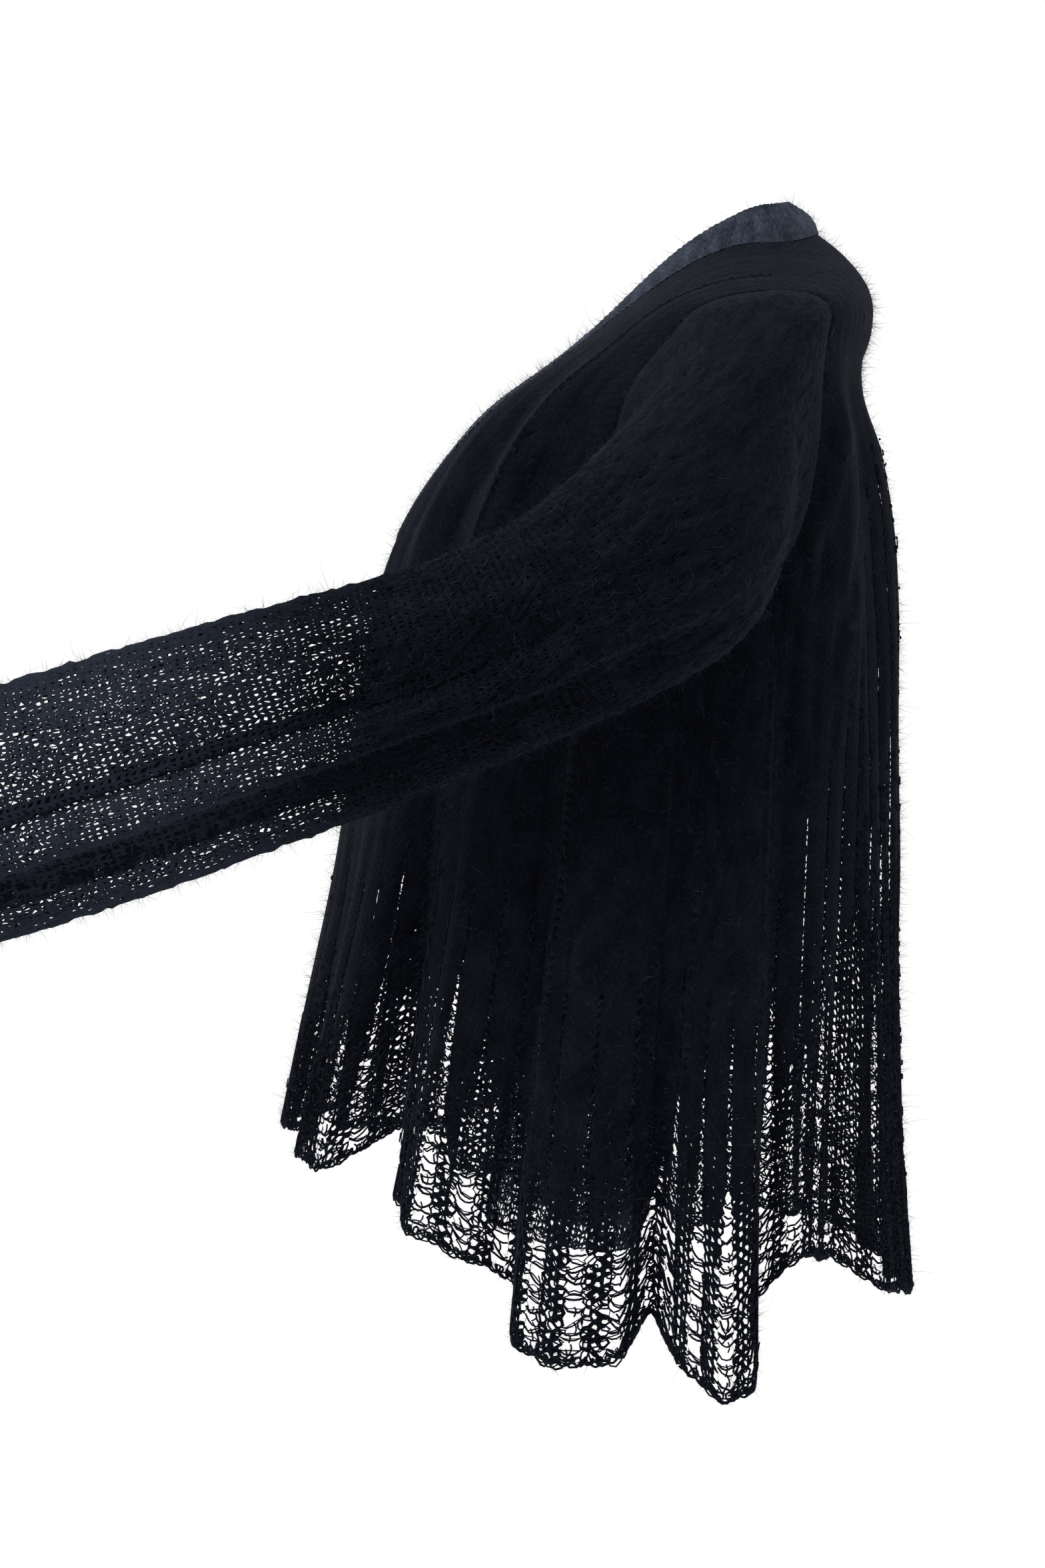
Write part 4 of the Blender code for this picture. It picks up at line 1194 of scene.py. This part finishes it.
def halo_tree():
    """Loose fibres that stand out of the cloth at all slants."""
    tree = bpy.data.node_groups.new("mohair_halo", "GeometryNodeTree")
    for name, kind in (
        ("Cloth", "Geometry"), ("Fibres per square metre", "Float"), ("Length", "Float"),
        ("Width", "Float"), ("Points", "Int"), ("Seed", "Int"), ("Finish", "Material"),
    ):
        tree.interface.new_socket(name, in_out="INPUT", socket_type="NodeSocket" + kind)
    tree.interface.new_socket("Halo", in_out="OUTPUT", socket_type="NodeSocketGeometry")
    given = add(tree, "NodeGroupInput").outputs
    spread = add(tree, "GeometryNodeDistributePointsOnFaces", links={
        "Mesh": given["Cloth"], "Density": given["Fibres per square metre"], "Seed": given["Seed"],
    })
    length = {"Scale": given["Length"]}
    middle = add(tree, "ShaderNodeVectorMath", {0: FIBRE_MIDDLE}, length, operation="SCALE")
    end = add(tree, "ShaderNodeVectorMath", {0: FIBRE_END}, length, operation="SCALE")
    bend = add(tree, "GeometryNodeCurveQuadraticBezier", {"Start": (0, 0, 0)}, {
        "Middle": middle.outputs["Vector"], "End": end.outputs["Vector"],
    })
    line = add(tree, "GeometryNodeResampleCurve", links={
        "Curve": bend.outputs["Curve"], "Count": given["Points"],
    })
    flat = add(tree, "GeometryNodeCurvePrimitiveLine", {"Start": (-0.5, 0, 0), "End": (0.5, 0, 0)})
    along = add(tree, "GeometryNodeSplineParameter")
    taper = add(tree, "ShaderNodeMath", {0: FIBRE_TAPER}, {
        1: along.outputs["Factor"],
    }, operation="SUBTRACT")
    width = add(tree, "ShaderNodeMath", links={
        0: taper.outputs["Value"], 1: given["Width"],
    }, operation="MULTIPLY")
    fibre = add(tree, "GeometryNodeCurveToMesh", links={
        "Curve": line.outputs["Curve"],
        "Profile Curve": flat.outputs["Curve"],
        "Scale": width.outputs["Value"],
    })
    lean = add(tree, "FunctionNodeRandomValue", {
        "Min": (-FIBRE_LEAN, -FIBRE_LEAN, 0), "Max": (FIBRE_LEAN, FIBRE_LEAN, 2 * math.pi),
    }, {"Seed": given["Seed"]}, data_type="FLOAT_VECTOR")
    slant = add(tree, "FunctionNodeEulerToRotation", links={"Euler": lean.outputs["Value"]})
    turn = add(tree, "FunctionNodeRotateRotation", links={
        "Rotation": spread.outputs["Rotation"], "Rotate By": slant.outputs["Rotation"],
    }, rotation_space="LOCAL")
    chance = add(tree, "FunctionNodeRandomValue", {"Min": 0.0, "Max": 1.0}, {
        "Seed": given["Seed"],
    }, data_type="FLOAT")
    rare = add(tree, "ShaderNodeMath", {1: FIBRE_RARE}, {0: chance.outputs["Value"]}, operation="POWER")
    size = add(tree, "ShaderNodeMapRange", {"To Min": FIBRE_SIZES[0], "To Max": FIBRE_SIZES[1]}, {
        "Value": rare.outputs["Value"],
    })
    grown = add(tree, "GeometryNodeInstanceOnPoints", links={
        "Points": spread.outputs["Points"], "Instance": fibre.outputs["Mesh"],
        "Rotation": turn.outputs["Rotation"], "Scale": size.outputs["Result"],
    })
    real = add(tree, "GeometryNodeRealizeInstances", links={"Geometry": grown.outputs["Instances"]})
    worn = add(tree, "GeometryNodeSetMaterial", links={
        "Geometry": real.outputs["Geometry"], "Material": given["Finish"],
    })
    add(tree, "NodeGroupOutput", links={"Halo": worn.outputs["Geometry"]})
    return tree


def grow(item, tree, inputs):
    """Run a tree on an object and leave the result as its plain mesh."""
    modifier = item.modifiers.new(tree.name, "NODES")
    modifier.node_group = tree
    sockets = {s.name: s.identifier for s in tree.interface.items_tree if s.in_out == "INPUT"}
    for name, value in inputs.items():
        modifier[sockets[name]] = value
    found = item.evaluated_get(bpy.context.evaluated_depsgraph_get())
    data = bpy.data.meshes.new_from_object(found)
    data.name = item.name
    item.modifiers.clear()
    item.data = data
    return item


def yarn_object(name, lines, tree, material):
    """Yarns as one mesh."""
    counts = [len(points) for points, _ in lines]
    starts = np.cumsum([0] + counts[:-1])
    edges = [(s + k, s + k + 1) for s, count in zip(starts, counts) for k in range(count - 1)]
    data = bpy.data.meshes.new(name)
    data.from_pydata(np.concatenate([points for points, _ in lines]), edges, [])
    thickness = data.attributes.new("thickness", "FLOAT", "POINT")
    radii = np.repeat([radius for _, radius in lines], counts)
    thickness.data.foreach_set("value", radii.astype(np.float32))
    return grow(link_object(name, data), tree, {"Sides": YARN_SIDES, "Finish": material})


def fibres_on(node, cloth, yarns, tree, material, seed):
    """Short fuzz and a few long hairs on a piece of cloth, and fuzz on the yarns that cross it."""
    found = []
    kinds = (("_fuzz", cloth, FUZZ), ("_hairs", cloth, HAIRS), ("_yarn_fuzz", yarns, YARN_FUZZ))
    for name, ground, fibre in kinds:
        if ground is None:
            continue
        item = link_object(node + name, ground.data.copy())
        found.append(grow(item, tree, {
            "Fibres per square metre": fibre.density, "Length": fibre.length, "Width": fibre.width,
            "Points": fibre.points, "Seed": seed + len(found), "Finish": material,
        }))
    return found


def linear(colour):
    """An sRGB hex colour as linear red, green, blue and alpha."""
    found = [int(colour[k:k + 2], 16) / 255 for k in (1, 3, 5)]
    return tuple(v / 12.92 if v <= 0.04045 else ((v + 0.055) / 1.055) ** 2.4 for v in found) + (1.0,)


def new_finish(name, values):
    """A material with plain values on its shader; gives the material, its tree and the shader."""
    material = bpy.data.materials.new(name)
    material.use_nodes = True
    shader = material.node_tree.nodes["Principled BSDF"]
    for socket, value in values.items():
        shader.inputs[socket].default_value = value
    return material, material.node_tree, shader


# Sockets of a colour mix: its share, its two colours and what comes out.
MIX_SHARE, MIX_FIRST, MIX_SECOND, MIX_OUT = 0, 6, 7, 2


def brushed_mohair(name, deep, worn, sheen, sheen_weight, painted_backlight=None):
    """Brushed knit: near-black yarn, clouded by its fibres, with a soft grey-blue edge of light."""
    material, tree, shader = new_finish(name, {
        "Roughness": 0.88, "Specular IOR Level": 0.04, "Sheen Weight": sheen_weight,
        "Sheen Roughness": 0.42, "Sheen Tint": linear(sheen),
    })
    knit = add(tree, "ShaderNodeUVMap", uv_map="knit").outputs["UV"]
    # Clouds of brushed fibre, and single fibres, drawn wide enough to show.
    noises = []
    for (wide, long), detail in ((CLOUD, 3.0), (STRAND, 2.0)):
        place = add(tree, "ShaderNodeMapping", {"Scale": (1 / wide, 1 / long, 1)}, {"Vector": knit})
        noises.append(add(tree, "ShaderNodeTexNoise", {"Scale": 1.0, "Detail": detail}, {
            "Vector": place.outputs["Vector"],
        }).outputs["Fac"])
    cloud, fibre = noises
    share = add(tree, "ShaderNodeMath", links={0: cloud, 1: fibre}, operation="MULTIPLY")
    fade = add(tree, "ShaderNodeMapRange", {"From Min": 0.16, "From Max": 0.42}, {
        "Value": share.outputs["Value"],
    })
    colour = add(tree, "ShaderNodeMix", {MIX_FIRST: linear(deep), MIX_SECOND: linear(worn)}, {
        MIX_SHARE: fade.outputs["Result"],
    }, data_type="RGBA")
    if painted_backlight:
        # Painted backlight: paler below the elbow, where the knit is drawn thin and light comes through
        # the yarn.
        drawn = add(tree, "ShaderNodeAttribute", attribute_name="drawn")
        backlight_fade = add(tree, "ShaderNodeMapRange", {"From Min": 0.40, "To Max": 0.55}, {
            "Value": drawn.outputs["Fac"],
        })
        colour = add(tree, "ShaderNodeMix", {MIX_SECOND: linear(painted_backlight)}, {
            MIX_SHARE: backlight_fade.outputs["Result"], MIX_FIRST: colour.outputs[MIX_OUT],
        }, data_type="RGBA")
    tree.links.new(colour.outputs[MIX_OUT], shader.inputs["Base Color"])
    # Two slanting legs to each stitch, STITCH_WIDE by ROW.
    axes = add(tree, "ShaderNodeSeparateXYZ", links={0: knit}).outputs
    column = add(tree, "ShaderNodeMath", {1: 1 / STITCH_WIDE}, {0: axes["X"]}, operation="MULTIPLY")
    leg = add(tree, "ShaderNodeMath", {1: 0.5}, {0: column.outputs["Value"]}, operation="PINGPONG")
    row = add(tree, "ShaderNodeMath", {1: 1 / ROW}, {0: axes["Y"]}, operation="MULTIPLY")
    slant = add(tree, "ShaderNodeMath", links={
        0: row.outputs["Value"], 1: leg.outputs["Value"],
    }, operation="ADD")
    turn = add(tree, "ShaderNodeMath", {1: 2 * math.pi}, {0: slant.outputs["Value"]}, operation="MULTIPLY")
    wave = add(tree, "ShaderNodeMath", links={0: turn.outputs["Value"]}, operation="SINE")
    relief = add(tree, "ShaderNodeMath", {1: 0.4}, {
        0: wave.outputs["Value"], 2: fibre,
    }, operation="MULTIPLY_ADD")
    bump = add(tree, "ShaderNodeBump", {"Strength": 0.7, "Distance": 0.0006}, {
        "Height": relief.outputs["Value"],
    })
    tree.links.new(bump.outputs["Normal"], shader.inputs["Normal"])
    return material


def spun_mohair(name, deep, worn, sheen):
    """Loose single yarn: near-black, with paler fibres wound along it."""
    material, tree, shader = new_finish(name, {
        "Roughness": 0.85, "Specular IOR Level": 0.04, "Sheen Weight": 0.10,
        "Sheen Roughness": 0.45, "Sheen Tint": linear(sheen),
    })
    place = add(tree, "ShaderNodeTexCoord").outputs["Object"]
    noise = add(tree, "ShaderNodeTexNoise", {"Scale": 1 / TWIST, "Detail": 2.0}, {
        "Vector": place,
    }).outputs["Fac"]
    fade = add(tree, "ShaderNodeMapRange", {"From Min": 0.4, "From Max": 0.75}, {"Value": noise})
    colour = add(tree, "ShaderNodeMix", {MIX_FIRST: linear(deep), MIX_SECOND: linear(worn)}, {
        MIX_SHARE: fade.outputs["Result"],
    }, data_type="RGBA")
    tree.links.new(colour.outputs[MIX_OUT], shader.inputs["Base Color"])
    bump = add(tree, "ShaderNodeBump", {"Strength": 0.6, "Distance": 0.0003}, {"Height": noise})
    tree.links.new(bump.outputs["Normal"], shader.inputs["Normal"])
    return material


def pale_floor():
    """A plain pale floor."""
    data = bpy.data.meshes.new("floor")
    corners = [(FLOOR_HALF * x, FLOOR_HALF * y, FLOOR_Z) for x, y in ((-1, -1), (1, -1), (1, 1), (-1, 1))]
    data.from_pydata(corners, [], [(0, 1, 2, 3)])
    finish = new_finish("matt_white_floor", {"Base Color": linear("#f4f4f4"), "Roughness": 0.9})
    data.materials.append(finish[0])
    link_object("floor", data)


def soft_light(name, place, size, power):
    """A large softbox aimed at the middle of the garment."""
    data = bpy.data.lights.new(name, "AREA")
    data.size = size
    data.energy = power
    item = link_object(name, data)
    item.location = place
    aim = np.array(LOOK_AT) - np.array(place)
    flat = math.hypot(aim[0], aim[1])
    item.rotation_euler = (math.atan2(flat, -aim[2]), 0, math.atan2(-aim[0], aim[1]))


def studio():
    """Soft studio light on white, and the camera at the wearer's left side."""
    scene = bpy.context.scene
    scene.view_settings.view_transform = "Standard"
    world = bpy.data.worlds.new("white_studio")
    world.use_nodes = True
    background = world.node_tree.nodes["Background"]
    background.inputs["Color"].default_value = linear("#ffffff")
    background.inputs["Strength"].default_value = 1.0
    scene.world = world
    soft_light("front_softbox", place=(1.7, -1.5, 1.1), size=1.6, power=40)
    soft_light("top_softbox", place=(0.3, 0.1, 1.9), size=1.8, power=12)
    pale_floor()
    data = bpy.data.cameras.new("camera")
    data.sensor_fit = "VERTICAL"
    data.sensor_height = SENSOR
    data.lens = FOCAL_PIXELS / PHOTO_HEIGHT * SENSOR
    item = link_object("camera", data)
    item.location = CAMERA
    item.rotation_euler = (math.pi / 2, 0, math.pi / 2)
    scene.camera = item


def dress(cloth, node, extras):
    """Put a sheet and the pieces on it in the place of its solid."""
    for item in [cloth] + extras:
        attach(item, "root")
    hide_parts(node)


for leftover in [o for o in bpy.data.objects if o.type in ("LIGHT", "CAMERA")]:
    bpy.data.objects.remove(leftover)
studio()
GREY_BLUE, PALE_BLUE = "#7c88a8", "#8f99b0"
body_finish = brushed_mohair("brushed_black_mohair_ladder_rib", "#04050a", "#0d1018", GREY_BLUE, 0.06)
# The sleeves' yarn carries painted backlight below the elbow.
sleeve_finish = brushed_mohair(
    "brushed_black_mohair_open_knit", "#05060b", "#0f121a", GREY_BLUE, 0.07, painted_backlight="#2a2f3b",
)
band_finish = brushed_mohair("brushed_black_mohair_close_knit", "#171a22", "#3a404d", PALE_BLUE, 0.18)
yarn_finish = spun_mohair("loose_black_mohair_yarn", "#05060b", "#12151d", GREY_BLUE)
fibre_finish = spun_mohair("fine_mohair_fibres", "#151820", "#343a47", PALE_BLUE)
spun, halo = yarn_tree(), halo_tree()

panels = {
    "front_left": Panel("front_left", FRONT_OPEN_DEG, 90, LADDERS),
    "front_right": Panel("front_right", -90, -FRONT_OPEN_DEG, LADDERS),
    "back": Panel("back", 90, 270, 2 * LADDERS),
}
sleeves = {
    "sleeve_left": Sleeve(
        "sleeve_left", LEFT_SLEEVE, LEFT_SLEEVE_FOLDS, LEFT_TUCKS, LEFT_CREASES, 1.0, LEFT_TOP,
    ),
    "sleeve_right": Sleeve(
        "sleeve_right", RIGHT_SLEEVE, RIGHT_SLEEVE_FOLDS, RIGHT_TUCKS, RIGHT_CREASES, -1.0, RIGHT_TOP,
    ),
}
for node, panel in panels.items():
    seeds = SEEDS[node]
    cloth = panel_cloth(panel, body_finish, seeds.cloth)
    paths = ladder_paths(panel, seeds.ladders) + hem_paths(panel, seeds.hem) + rib_paths(panel, seeds.ribs)
    yarns = yarn_object(node + "_yarns", yarn_points(panel, paths), spun, yarn_finish)
    fibres = fibres_on(node, cloth, yarns, halo, fibre_finish, seeds.fibres)
    dress(cloth, node, [yarns] + fibres)
for node, sleeve in sleeves.items():
    seeds = SEEDS[node]
    cloth = sleeve_cloth(sleeve, sleeve_finish, seeds.cloth)
    dress(cloth, node, fibres_on(node, cloth, None, halo, fibre_finish, seeds.fibres))
seeds = SEEDS["neckband"]
band, band_seam = neckband_cloth(band_finish, seeds.cloth)
seams = yarn_object("overcast_seams", seam_paths(panels, sleeves) + [band_seam], spun, yarn_finish)
fibres = fibres_on("neckband", band, None, halo, fibre_finish, seeds.fibres)
dress(band, "neckband", [seams] + fibres)
